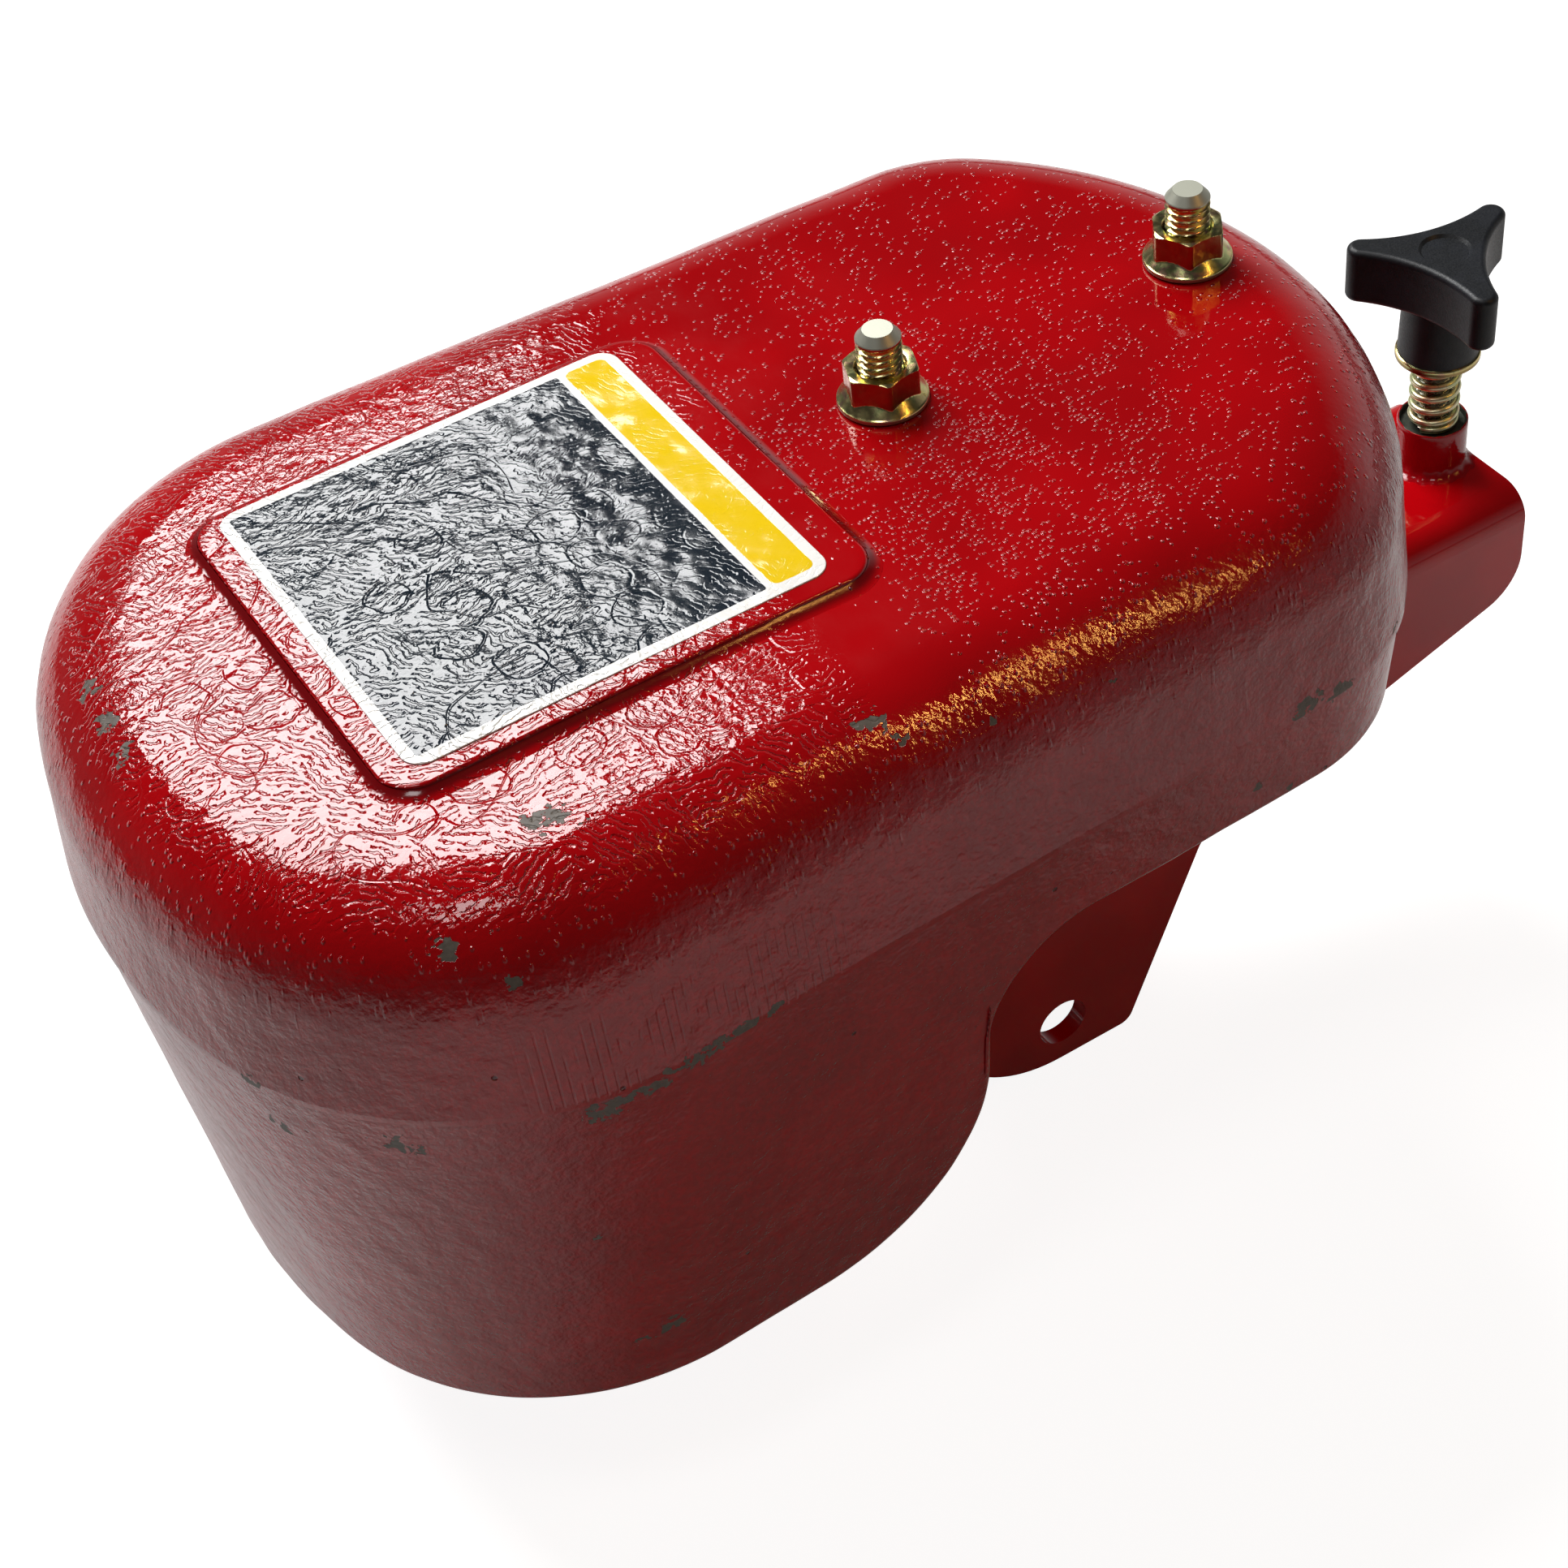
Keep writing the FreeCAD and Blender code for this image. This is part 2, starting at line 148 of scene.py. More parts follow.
@dataclass
class Surface:
    """Grids of points that make one piece."""

    points: list[Array]
    faces: list[Array]

    @staticmethod
    def empty() -> "Surface":
        """A surface with no grid yet."""
        return Surface([], [])

    def add(self, grid: Array, closed: bool = True) -> "Surface":
        """Add a grid.

        Args:
            grid: Rows x columns x 3 points in millimetres.
            closed: Whether the last column joins the first.

        Returns:
            This surface.
        """
        start = sum(len(points) for points in self.points)
        rows, columns, _ = grid.shape
        self.points.append(grid.reshape(-1, 3))
        self.faces.append(grid_faces(rows, columns, closed) + start)
        return self

    def mesh(self, name: str, crease_degrees: float = 35.0) -> bpy.types.Mesh:
        """Merge the grids where they meet and turn their faces outwards.

        Args:
            name: Name of the mesh.
            crease_degrees: Edges sharper than this stay crisp.

        Returns:
            The mesh, in metres.
        """
        points = np.concatenate(self.points) * METRES
        faces = np.concatenate(self.faces)
        mesh = bpy.data.meshes.new(name)
        mesh.vertices.add(len(points))
        mesh.vertices.foreach_set("co", points.astype(np.float32).ravel())
        mesh.loops.add(faces.size)
        mesh.loops.foreach_set("vertex_index", faces.astype(np.int32).ravel())
        mesh.polygons.add(len(faces))
        mesh.polygons.foreach_set("loop_start", np.arange(0, faces.size, 4, dtype=np.int32))
        mesh.update(calc_edges=True)
        work = bmesh.new()
        work.from_mesh(mesh)
        bmesh.ops.remove_doubles(work, verts=work.verts, dist=2e-6)
        bmesh.ops.recalc_face_normals(work, faces=work.faces)
        work.to_mesh(mesh)
        work.free()
        mesh.polygons.foreach_set("use_smooth", np.ones(len(mesh.polygons), bool))
        mesh.set_sharp_from_angle(angle=math.radians(crease_degrees))
        mesh.validate()
        return mesh


@dataclass(frozen=True)
class Outline:
    """Closed flat outline, listed finely as places, normal angles and distances along it."""

    x: Array
    y: Array
    turn: Array
    distance: Array

    @staticmethod
    def from_arcs(arcs: Sequence[tuple[float, float, float, float, float]]) -> "Outline":
        """Join arcs by straight lines.

        Args:
            arcs: Centre x, centre y, radius, first and last normal angle of each arc, in order.

        Returns:
            The outline; between two arcs it runs straight.
        """
        angles = [np.linspace(first, last, 240) for _, _, _, first, last in arcs]
        x = np.concatenate([cx + r * np.cos(a) for (cx, _, r, _, _), a in zip(arcs, angles)])
        y = np.concatenate([cy + r * np.sin(a) for (_, cy, r, _, _), a in zip(arcs, angles)])
        turn = np.concatenate(angles)
        steps = np.hypot(np.diff(x), np.diff(y))
        return Outline(x, y, turn, np.concatenate([[0.0], np.cumsum(steps)]))

    @staticmethod
    def rounded_rectangle(centre: tuple[float, float], length: float, width: float,
                          radius: float) -> "Outline":
        """Rectangle with rounded corners, from the middle of its +X side round and back.

        Args:
            centre: Its middle.
            length: Side along X.
            width: Side along Y.
            radius: Radius of the corners.

        Returns:
            The outline.
        """
        half_length = length / 2 - radius
        half_width = width / 2 - radius
        quarter = math.pi / 2
        arcs = [(centre[0] + half_length, centre[1], radius, 0.0, 0.0)]
        for index, (sx, sy) in enumerate(((1, 1), (-1, 1), (-1, -1), (1, -1))):
            arcs.append((centre[0] + sx * half_length, centre[1] + sy * half_width, radius,
                         index * quarter, (index + 1) * quarter))
        arcs.append((centre[0] + half_length, centre[1], radius, 4 * quarter, 4 * quarter))
        return Outline.from_arcs(arcs)

    @property
    def length(self) -> float:
        """Distance from the first point to the last."""
        return float(self.distance[-1])

    def at(self, distance: Array) -> tuple[Array, Array]:
        """Follow the outline.

        Args:
            distance: Distances from its first point.

        Returns:
            Places and outward normals there.
        """
        place = np.stack([np.interp(distance, self.distance, self.x),
                          np.interp(distance, self.distance, self.y)], -1)
        turn = np.interp(distance, self.distance, self.turn)
        return place, np.stack([np.cos(turn), np.sin(turn)], -1)

    def even(self, count: int) -> tuple[Array, Array]:
        """Places and normals at that many even steps round the whole outline."""
        return self.at(np.arange(count) * self.length / count)


def carried_round(outline: Outline, count: int, profile: Array) -> Array:
    """Carry a profile round an outline: the outline moved in by each inset, at its height.

    Args:
        outline: The outline.
        count: Number of columns round it.
        profile: Rows of inset and height.

    Returns:
        Grid of rows x count x 3 points.
    """
    place, normal = outline.even(count)
    flat = place[None] - profile[:, None, :1] * normal[None]
    height = np.broadcast_to(profile[:, None, 1:], (len(profile), count, 1))
    return np.concatenate([flat, height], -1)


def drawn_to_spine(ring: Array, first_x: float, last_x: float, spine_y: float, rows: int) -> Array:
    """Close a ring: each point goes straight to the nearest point of a spine along X.

    Args:
        ring: Columns x 3 points.
        first_x: Low end of the spine.
        last_x: High end of the spine.
        spine_y: Y of the spine.
        rows: Number of rows, ring and spine included.

    Returns:
        Grid of rows x columns x 3 points.
    """
    spine = np.stack([np.clip(ring[:, 0], first_x, last_x), np.full(len(ring), spine_y), ring[:, 2]], -1)
    share = np.linspace(0, 1, rows)[:, None, None]
    return ring[None] * (1 - share) + spine[None] * share


def arc_rows(centre: tuple[float, float], radius: float, first: float, last: float, count: int) -> Array:
    """Points of an arc as inset and height; the angle is in degrees, from outwards towards up."""
    angle = np.radians(np.linspace(first, last, count))
    return np.stack([centre[0] - radius * np.cos(angle), centre[1] + radius * np.sin(angle)], -1)


def turned(x: float, profile: Array, columns: int) -> Array:
    """Turn a profile: each row is a circle of its radius about the upright line at x.

    Args:
        x: X of the axis.
        profile: Rows of radius and height.
        columns: Points round the axis.

    Returns:
        Grid of rows x columns x 3 points.
    """
    angle = np.arange(columns) * 2 * math.pi / columns
    radius = profile[:, None, 0]
    height = np.broadcast_to(profile[:, None, 1], (len(profile), columns))
    return np.stack([x + radius * np.cos(angle), radius * np.sin(angle), height], -1)


def along_points(corners: Sequence[tuple[float, float]], step: float) -> Array:
    """Points along a polyline, with its corners kept and each side cut into even steps.

    Args:
        corners: Corners of the polyline.
        step: Widest gap between two points.

    Returns:
        The points, one a row.
    """
    rows = [np.array(corners[:1], float)]
    for start, end in zip(corners[:-1], corners[1:]):
        count = max(1, math.ceil(math.dist(start, end) / step))
        share = np.arange(1, count + 1)[:, None] / count
        rows.append(np.array(start) * (1 - share) + np.array(end) * share)
    return np.concatenate(rows)


def shown(mesh: bpy.types.Mesh, material: bpy.types.Material, body: Body, slot: Slot,
          stands_for: Sequence[str] = ()) -> bpy.types.Object:
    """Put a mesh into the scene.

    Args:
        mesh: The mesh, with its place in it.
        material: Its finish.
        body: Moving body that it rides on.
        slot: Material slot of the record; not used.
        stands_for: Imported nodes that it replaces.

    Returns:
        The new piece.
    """
    piece = bpy.data.objects.new(mesh.name, mesh)
    bpy.context.scene.collection.objects.link(piece)
    mesh.materials.append(material)
    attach(piece, body.value)
    if stands_for:
        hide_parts(*stands_for)
    return piece


# Finishes

def linear(hex_colour: str) -> tuple[float, float, float, float]:
    """Turn an sRGB hex colour into linear light, each channel by the sRGB curve.

    Args:
        hex_colour: Colour as a hash and six hex digits.

    Returns:
        Linear red, green, blue and an alpha of 1.
    """
    channels = [int(hex_colour[i:i + 2], 16) / 255 for i in (1, 3, 5)]
    flat = [c / 12.92 if c <= 0.04045 else ((c + 0.055) / 1.055) ** 2.4 for c in channels]
    return (flat[0], flat[1], flat[2], 1.0)


def add(tree: bpy.types.NodeTree, kind: str, sockets: dict[Any, Any] | None = None,
        **settings: Any) -> bpy.types.Node:
    """Add a node with its settings, constants and links.

    Args:
        tree: Node tree to add to.
        kind: Blender's name of the node type, less its leading ShaderNode.
        sockets: Input name or number to a constant, or to the output to link from.
        settings: Properties of the node.

    Returns:
        The new node.
    """
    made = tree.nodes.new("ShaderNode" + kind)
    for name, value in settings.items():
        setattr(made, name, value)
    for key, value in (sockets or {}).items():
        if isinstance(value, bpy.types.NodeSocket):
            tree.links.new(value, made.inputs[key])
        else:
            made.inputs[key].default_value = value
    return made


class Kind(Enum):
    """Steps of a finish: node type, inputs in order, output that is read (None is all) and settings."""

    PLUS = ("Math", (0, 1), 0, {"operation": "ADD"})
    LESS = ("Math", (0, 1), 0, {"operation": "SUBTRACT"})
    TIMES = ("Math", (0, 1), 0, {"operation": "MULTIPLY"})
    LARGER = ("Math", (0, 1), 0, {"operation": "MAXIMUM"})
    SIZE = ("Math", (0,), 0, {"operation": "ABSOLUTE"})
    ROOT = ("Math", (0,), 0, {"operation": "SQRT"})
    SINE = ("Math", (0,), 0, {"operation": "SINE"})
    COSINE = ("Math", (0,), 0, {"operation": "COSINE"})
    RAMP = ("MapRange", ("Value", "From Min", "From Max", "To Min", "To Max"), 0,
            {"interpolation_type": "SMOOTHSTEP"})
    NUMBERS = ("Mix", (0, 2, 3), 0, {"data_type": "FLOAT"})
    COLOURS = ("Mix", (0, 6, 7), 2, {"data_type": "RGBA"})
    NOISE = ("TexNoise", ("Scale", "Detail", "Distortion"), "Fac", {})
    SWAY = ("TexNoise", ("Scale", "Detail", "Distortion"), "Color", {})
    CELLS = ("TexVoronoi", ("Scale", "Randomness"), None, {})
    CHANNELS = ("SeparateColor", (0,), None, {})
    AXES = ("SeparateXYZ", (0,), None, {})
    MARK = ("Attribute", (), "Fac", {})
    NORMAL = ("NewGeometry", (), "Normal", {})
    JOIN = ("CombineXYZ", (0, 1), 0, {})
    SCALED = ("VectorMath", (0, "Scale"), 0, {"operation": "SCALE"})
    ALONG = ("VectorMath", (0, 1), "Value", {"operation": "DOT_PRODUCT"})
    MOVED = ("VectorMath", (0, 1), 0, {"operation": "ADD"})
    MOVED_BACK = ("VectorMath", (0, 1), 0, {"operation": "SUBTRACT"})


PATTERNS = (Kind.NOISE, Kind.SWAY, Kind.CELLS)


class Recipe:
    """Node tree of one material, with object coordinates in millimetres."""

    def __init__(self, name: str) -> None:
        """Start an empty material with its output, shader and coordinates.

        Args:
            name: Name of the material.
        """
        self.material = bpy.data.materials.new(name)
        self.material.use_nodes = True
        self.tree = self.material.node_tree
        self.tree.nodes.clear()
        self.shader = add(self.tree, "BsdfPrincipled")
        add(self.tree, "OutputMaterial", {"Surface": self.shader.outputs[0]})
        self.mm = self.add(Kind.SCALED, add(self.tree, "TexCoord").outputs["Object"], 1000.0)

    def add(self, kind: Kind, *values: Any, where: Any = None, **settings: Any) -> Any:
        """Add a step to the recipe.

        Args:
            kind: Kind of step.
            values: Constants or sockets for its inputs in order; a pattern's first is its size in
                millimetres, and a noise's second is its detail.
            where: Coordinates of a pattern, or None for the object's own.
            settings: Further properties of the node.

        Returns:
            The output that the kind reads, or all outputs.
        """
        node_type, inputs, output, own = kind.value
        sockets = dict(zip(inputs, values))
        if kind in PATTERNS:
            sockets.update({"Vector": where or self.mm, "Scale": 1 / values[0]})
        outputs = add(self.tree, node_type, sockets, **own, **settings).outputs
        return outputs if output is None else outputs[output]

    def dress(self, height: Any, **sockets: Any) -> bpy.types.Material:
        """Raise the surface by a height, and set or link the shader's inputs.

        Args:
            height: Relief in millimetres.
            sockets: The shader's inputs, with underscores for spaces in their names.

        Returns:
            The finished material.
        """
        bump = add(self.tree, "Bump", {"Height": height, "Strength": 1.0, "Distance": METRES})
        for name, value in {"Normal": bump.outputs[0], **sockets}.items():
            target = self.shader.inputs[name.replace("_", " ")]
            if isinstance(value, bpy.types.NodeSocket):
                self.tree.links.new(value, target)
            else:
                target.default_value = value
        return self.material


def film_relief(r: Recipe, ring_depth: float) -> bpy.types.NodeSocket:
    """Wrinkles that packing film pressed into soft enamel: rings 11 mm across, filled with wavy creases.

    A crease is the top of a sine wave 1.6 mm long across the heading of its ring, so it is a groove
    0.6 mm wide. Noise bends the wave, breaks the creases into lengths of about 4 mm and adds long folds.

    Args:
        r: Recipe to add the pattern to.
        ring_depth: Depth of the outline of a ring in millimetres.

    Returns:
        Height in millimetres.
    """
    sway = r.add(Kind.MOVED_BACK, r.add(Kind.SWAY, 9.0, 2.0), (0.5, 0.5, 0.5))
    swayed = r.add(Kind.MOVED, r.mm, r.add(Kind.SCALED, sway, 5.0))
    rings = r.add(Kind.CELLS, 11.0, 0.55, where=swayed, voronoi_dimensions="2D")
    pick = r.add(Kind.CHANNELS, rings["Color"])
    angle = r.add(Kind.RAMP, pick[0], 0.0, 1.0, -0.35, 1.25)
    heading = r.add(Kind.JOIN, r.add(Kind.SINE, angle), r.add(Kind.COSINE, angle))
    across = r.add(Kind.TIMES, r.add(Kind.ALONG, swayed, heading), 2 * math.pi / 1.6)
    wander = r.add(Kind.TIMES, r.add(Kind.NOISE, 2.6, 3.0), 13.0)
    wave = r.add(Kind.SINE, r.add(Kind.PLUS, across, wander))
    patchy = r.add(Kind.RAMP, r.add(Kind.NOISE, 2.6, 1.0), 0.38, 0.54)
    crease = r.add(Kind.TIMES, r.add(Kind.RAMP, wave, 0.0, 0.95), patchy)
    rim = r.add(Kind.SIZE, r.add(Kind.LESS, rings["Distance"], 0.43))
    ring = r.add(Kind.TIMES, r.add(Kind.RAMP, rim, 0.05, 0.0), r.add(Kind.RAMP, pick[1], 0.5, 0.6))
    nearer = r.add(Kind.RAMP, r.add(Kind.AXES, r.mm)[1], 30.0, 0.0, 0.15, 1.0)
    ring = r.add(Kind.TIMES, ring, nearer)
    middle = r.add(Kind.SIZE, r.add(Kind.LESS, r.add(Kind.NOISE, 34.0, 1.0, 1.0), 0.5))
    fold = r.add(Kind.RAMP, middle, 0.010, 0.0)
    depth = r.add(Kind.PLUS, r.add(Kind.TIMES, crease, -0.24), r.add(Kind.TIMES, ring, -ring_depth))
    swell = r.add(Kind.TIMES, r.add(Kind.NOISE, 3.0, 3.0), 0.24)
    return r.add(Kind.PLUS, r.add(Kind.PLUS, depth, swell), r.add(Kind.TIMES, fold, -0.08))


@dataclass(frozen=True)
class IronEnamel:
    """Gloss alkyd enamel on sand-cast iron: wet on top, satin and pitted on the walls, chipped in spots, with
    painted shade in the pits and in the groove round the pad.
    """

    body: str = "#A60209"
    shade: str = "#970208"
    iron: str = "#39342E"
    dust: str = "#6A6156"
    grimy: str = "#5A0A10"
    pit_shade: str = "#3A0608"
    pad_foot_shade: str = "#4A0206"
    wet: float = 0.07
    satin: float = 0.18

    def build(self) -> bpy.types.Material:
        """Make the material.

        Returns:
            The material of the casting's skins.
        """
        r = Recipe("gloss_enamel_on_cast_iron")
        film, wall, bare, groove = (r.add(Kind.MARK, attribute_name=name)
                                    for name in ("film", "wall", "bare", "groove"))
        ragged = r.add(Kind.RAMP, r.add(Kind.NOISE, 1.8, 3.0), 0.25, 0.75, -0.45, 0.45)
        chip = r.add(Kind.RAMP, r.add(Kind.PLUS, bare, ragged), 0.48, 0.56)
        pit = r.add(Kind.TIMES, self.pits(r), wall)
        grain = r.add(Kind.NOISE, 1.1, 3.0)
        z = r.add(Kind.AXES, r.mm)[2]
        fillet = r.add(Kind.TIMES, r.add(Kind.RAMP, z, 158.0, 166.0), r.add(Kind.RAMP, z, 185.2, 181.0))
        parts = (
            (r.add(Kind.NOISE, 6.0, 3.0), r.add(Kind.NUMBERS, wall, 0.05, 0.70)),
            (grain, r.add(Kind.NUMBERS, wall, 0.010, 0.22)),
            (r.add(Kind.NOISE, 1.9, 2.0), r.add(Kind.TIMES, fillet, 0.09)),
            (self.grains(r), 0.20),
            (film_relief(r, 0.09), film),
            (pit, -0.6),
            (chip, -0.12),
            (self.planing(r), -0.22),
        )
        height = 0.0
        for shape, depth in parts:
            height = r.add(Kind.PLUS, height, r.add(Kind.TIMES, shape, depth))
        patch = r.add(Kind.RAMP, r.add(Kind.NOISE, 38.0, 2.0), 0.35, 0.65)
        tone = r.add(Kind.COLOURS, patch, linear(self.body), linear(self.shade))
        mottle = r.add(Kind.RAMP, r.add(Kind.NOISE, 2.4, 4.0), 0.40, 0.62)
        grime = r.add(Kind.LARGER, r.add(Kind.RAMP, grain, 0.45, 0.60), mottle)
        grime = r.add(Kind.TIMES, grime, r.add(Kind.TIMES, wall, 0.30))
        tone = r.add(Kind.COLOURS, grime, tone, linear(self.grimy))
        # Painted shade: the pits are darkened towards a dark red, as shade in their hollows.
        tone = r.add(Kind.COLOURS, r.add(Kind.TIMES, pit, 0.8), tone, linear(self.pit_shade))
        # Painted shade: the enamel in the groove round the pad's foot is darkened, as shade where it slopes
        # away.
        tone = r.add(Kind.COLOURS, r.add(Kind.TIMES, groove, 0.75), tone, linear(self.pad_foot_shade))
        metal = r.add(Kind.COLOURS, r.add(Kind.NOISE, 1.3, 2.0), linear(self.iron), linear(self.dust))
        gloss = r.add(Kind.PLUS, r.add(Kind.NUMBERS, wall, self.wet, self.satin),
                      r.add(Kind.TIMES, groove, 0.06))
        drift = r.add(Kind.RAMP, r.add(Kind.NOISE, 16.0, 2.0), 0.3, 0.7, -0.02, 0.03)
        gloss = r.add(Kind.PLUS, gloss, drift)
        return r.dress(height, Base_Color=r.add(Kind.COLOURS, chip, tone, metal),
                       Roughness=r.add(Kind.NUMBERS, chip, gloss, 0.6), Specular_IOR_Level=0.5, IOR=1.58)

    @staticmethod
    def pits(r: Recipe) -> bpy.types.NodeSocket:
        """Pits about 1 mm across: the middles of one in five cells 7 mm wide.

        Args:
            r: Recipe to add the pattern to.

        Returns:
            1 in a pit, 0 elsewhere.
        """
        cells = r.add(Kind.CELLS, 7.0, 1.0)
        pick = r.add(Kind.CHANNELS, cells["Color"])[0]
        middle = r.add(Kind.RAMP, cells["Distance"], 0.10, 0.04)
        return r.add(Kind.TIMES, middle, r.add(Kind.RAMP, pick, 0.80, 0.82))

    @staticmethod
    def grains(r: Recipe) -> bpy.types.NodeSocket:
        """Sand grains under the enamel: cones in cells 1.3 mm wide, more of them where marked.

        Real grains are half as wide; these are 0.6 to 1.2 mm so that they still show from arm's length.

        Args:
            r: Recipe to add the pattern to.

        Returns:
            Height from 0 at a grain's foot to 1 at its tip.
        """
        cells = r.add(Kind.CELLS, 1.3, 1.0, voronoi_dimensions="2D")
        pick = r.add(Kind.CHANNELS, cells["Color"])
        patch = r.add(Kind.RAMP, r.add(Kind.NOISE, 9.0, 3.0), 0.40, 0.58, 0.35, 1.0)
        share = r.add(Kind.TIMES, r.add(Kind.MARK, attribute_name="sand"), patch)
        reach = r.add(Kind.RAMP, pick[1], 0.0, 1.0, 0.22, 0.46)
        cone = r.add(Kind.RAMP, r.add(Kind.LESS, reach, cells["Distance"]), 0.0, 0.34)
        return r.add(Kind.TIMES, cone, r.add(Kind.RAMP, r.add(Kind.PLUS, pick[0], share), 0.99, 1.02))

    @staticmethod
    def planing(r: Recipe) -> bpy.types.NodeSocket:
        """Upright tool marks 2 mm apart on the near side, just above the parting line.

        Args:
            r: Recipe to add the pattern to.

        Returns:
            1 in the deepest part of a mark, 0 elsewhere.
        """
        x, y, z = r.add(Kind.AXES, r.mm)
        line = r.add(Kind.RAMP, r.add(Kind.SINE, r.add(Kind.TIMES, x, 2 * math.pi / 2.0)), 0.55, 1.0)
        span = r.add(Kind.TIMES, r.add(Kind.RAMP, x, -160.0, -152.0), r.add(Kind.RAMP, x, -84.0, -96.0))
        rows = r.add(Kind.TIMES, r.add(Kind.RAMP, z, 141.5, 143.0), r.add(Kind.RAMP, z, 164.0, 156.0))
        faint = r.add(Kind.TIMES, r.add(Kind.RAMP, y, -60.0, -75.0),
                      r.add(Kind.RAMP, r.add(Kind.NOISE, 7.0, 1.0), 0.40, 0.55))
        return r.add(Kind.TIMES, r.add(Kind.TIMES, line, span), r.add(Kind.TIMES, rows, faint))


@dataclass(frozen=True)
class SheetEnamel:
    """Gloss enamel on folded sheet steel: smoother and darker than on the iron, with faint orange peel."""

    body: str = "#BC040D"
    shade: str = "#AC030C"

    def build(self) -> bpy.types.Material:
        """Make the material.

        Returns:
            The material of the bracket.
        """
        r = Recipe("gloss_enamel_on_sheet_steel")
        height = r.add(Kind.PLUS, r.add(Kind.TIMES, r.add(Kind.NOISE, 9.0, 1.0), 0.006),
                       r.add(Kind.TIMES, r.add(Kind.NOISE, 1.4, 2.0), 0.006))
        patch = r.add(Kind.RAMP, r.add(Kind.NOISE, 22.0, 2.0), 0.35, 0.65)
        tone = r.add(Kind.COLOURS, patch, linear(self.body), linear(self.shade))
        gloss = r.add(Kind.RAMP, r.add(Kind.NOISE, 11.0, 2.0), 0.3, 0.7, 0.04, 0.08)
        return r.dress(height, Base_Color=tone, Roughness=gloss, Specular_IOR_Level=0.5, IOR=1.5)


@dataclass(frozen=True)
class BossEnamel:
    """The same enamel on the screw boss, worn to grey metal on the spring's seat inside its rim."""

    body: str = "#9A0510"
    metal: str = "#565A50"
    stain: str = "#33362F"

    def build(self) -> bpy.types.Material:
        """Make the material.

        Returns:
            The material of the boss.
        """
        r = Recipe("worn_enamel_on_boss")
        x, y, z = r.add(Kind.AXES, r.mm)
        out_x = r.add(Kind.LESS, x, SCREW_X)
        squares = [r.add(Kind.TIMES, value, value) for value in (out_x, y)]
        ragged = r.add(Kind.RAMP, r.add(Kind.NOISE, 1.6, 2.0), 0.0, 1.0, -0.4, 0.4)
        reach = r.add(Kind.PLUS, r.add(Kind.ROOT, r.add(Kind.PLUS, *squares)), ragged)
        worn = r.add(Kind.TIMES, r.add(Kind.RAMP, reach, 8.05, 7.75),
                     r.add(Kind.RAMP, z, BOSS_TOP - 1.0, BOSS_TOP - 0.5))
        dull = r.add(Kind.COLOURS, r.add(Kind.NOISE, 1.1, 2.0), linear(self.metal), linear(self.stain))
        return r.dress(r.add(Kind.TIMES, r.add(Kind.NOISE, 0.9, 2.0), 0.05),
                       Base_Color=r.add(Kind.COLOURS, worn, linear(self.body), dull),
                       Roughness=r.add(Kind.NUMBERS, worn, 0.12, 0.45),
                       Metallic=r.add(Kind.TIMES, worn, 0.8))


@dataclass(frozen=True)
class YellowZinc:
    """Yellow chromate over zinc: gold drifting to green and pink, flats browned as painted shade, dull bolt
    ends and rims.
    """

    gold: str = "#E6D494"
    green: str = "#C6CC8C"
    pink: str = "#DCB296"
    name: str = "yellow_chromate_zinc"
    roughness: float = 0.20
    stain: str = "#6B5A3A"
    upright_shade: str = "#6E5434"
    cut: str = "#BCBDAE"
    rubbed: str = "#A8998A"

    def build(self) -> bpy.types.Material:
        """Make the material: tints drift over 3 to 5 mm, with stains under 1 mm wide.

        Returns:
            The material of plated steel.
        """
        r = Recipe(self.name)
        tint = linear(self.gold)
        for size, distortion, low, high, most, colour in (
                (5.0, 1.0, 0.42, 0.62, 1.0, self.green), (3.4, 1.5, 0.52, 0.70, 1.0, self.pink),
                (0.7, 0.0, 0.62, 0.78, 0.6, self.stain)):
            drift = r.add(Kind.RAMP, r.add(Kind.NOISE, size, 2.0, distortion), low, high, 0.0, most)
            tint = r.add(Kind.COLOURS, drift, tint, linear(colour))
        rough = r.add(Kind.RAMP, r.add(Kind.NOISE, 1.8, 2.0), 0.3, 0.7, self.roughness - 0.04,
                      self.roughness + 0.07)
        # Painted shade: upright faces, the nut's flats among them, are tinted a darker brown.
        facing = r.add(Kind.AXES, r.add(Kind.NORMAL))[2]
        upright = r.add(Kind.RAMP, r.add(Kind.SIZE, facing), 0.25, 0.05)
        tint = r.add(Kind.COLOURS, r.add(Kind.TIMES, upright, 0.75), tint, linear(self.upright_shade))
        height = r.add(Kind.AXES, r.mm)[2]
        cut_end = r.add(Kind.RAMP, height, TOP_Z + 15.1, TOP_Z + 15.6)
        rim = r.add(Kind.TIMES, r.add(Kind.RAMP, height, TOP_Z - 1.0, TOP_Z - 0.5),
                    r.add(Kind.RAMP, height, TOP_Z + 1.15, TOP_Z + 0.8))
        tint = r.add(Kind.COLOURS, cut_end, tint, linear(self.cut))
        tint = r.add(Kind.COLOURS, r.add(Kind.TIMES, rim, 0.7), tint, linear(self.rubbed))
        rough = r.add(Kind.NUMBERS, r.add(Kind.LARGER, cut_end, rim), rough, 0.46)
        return r.dress(r.add(Kind.TIMES, r.add(Kind.NOISE, 0.6, 2.0), 0.006), Base_Color=tint,
                       Metallic=1.0, Roughness=rough)


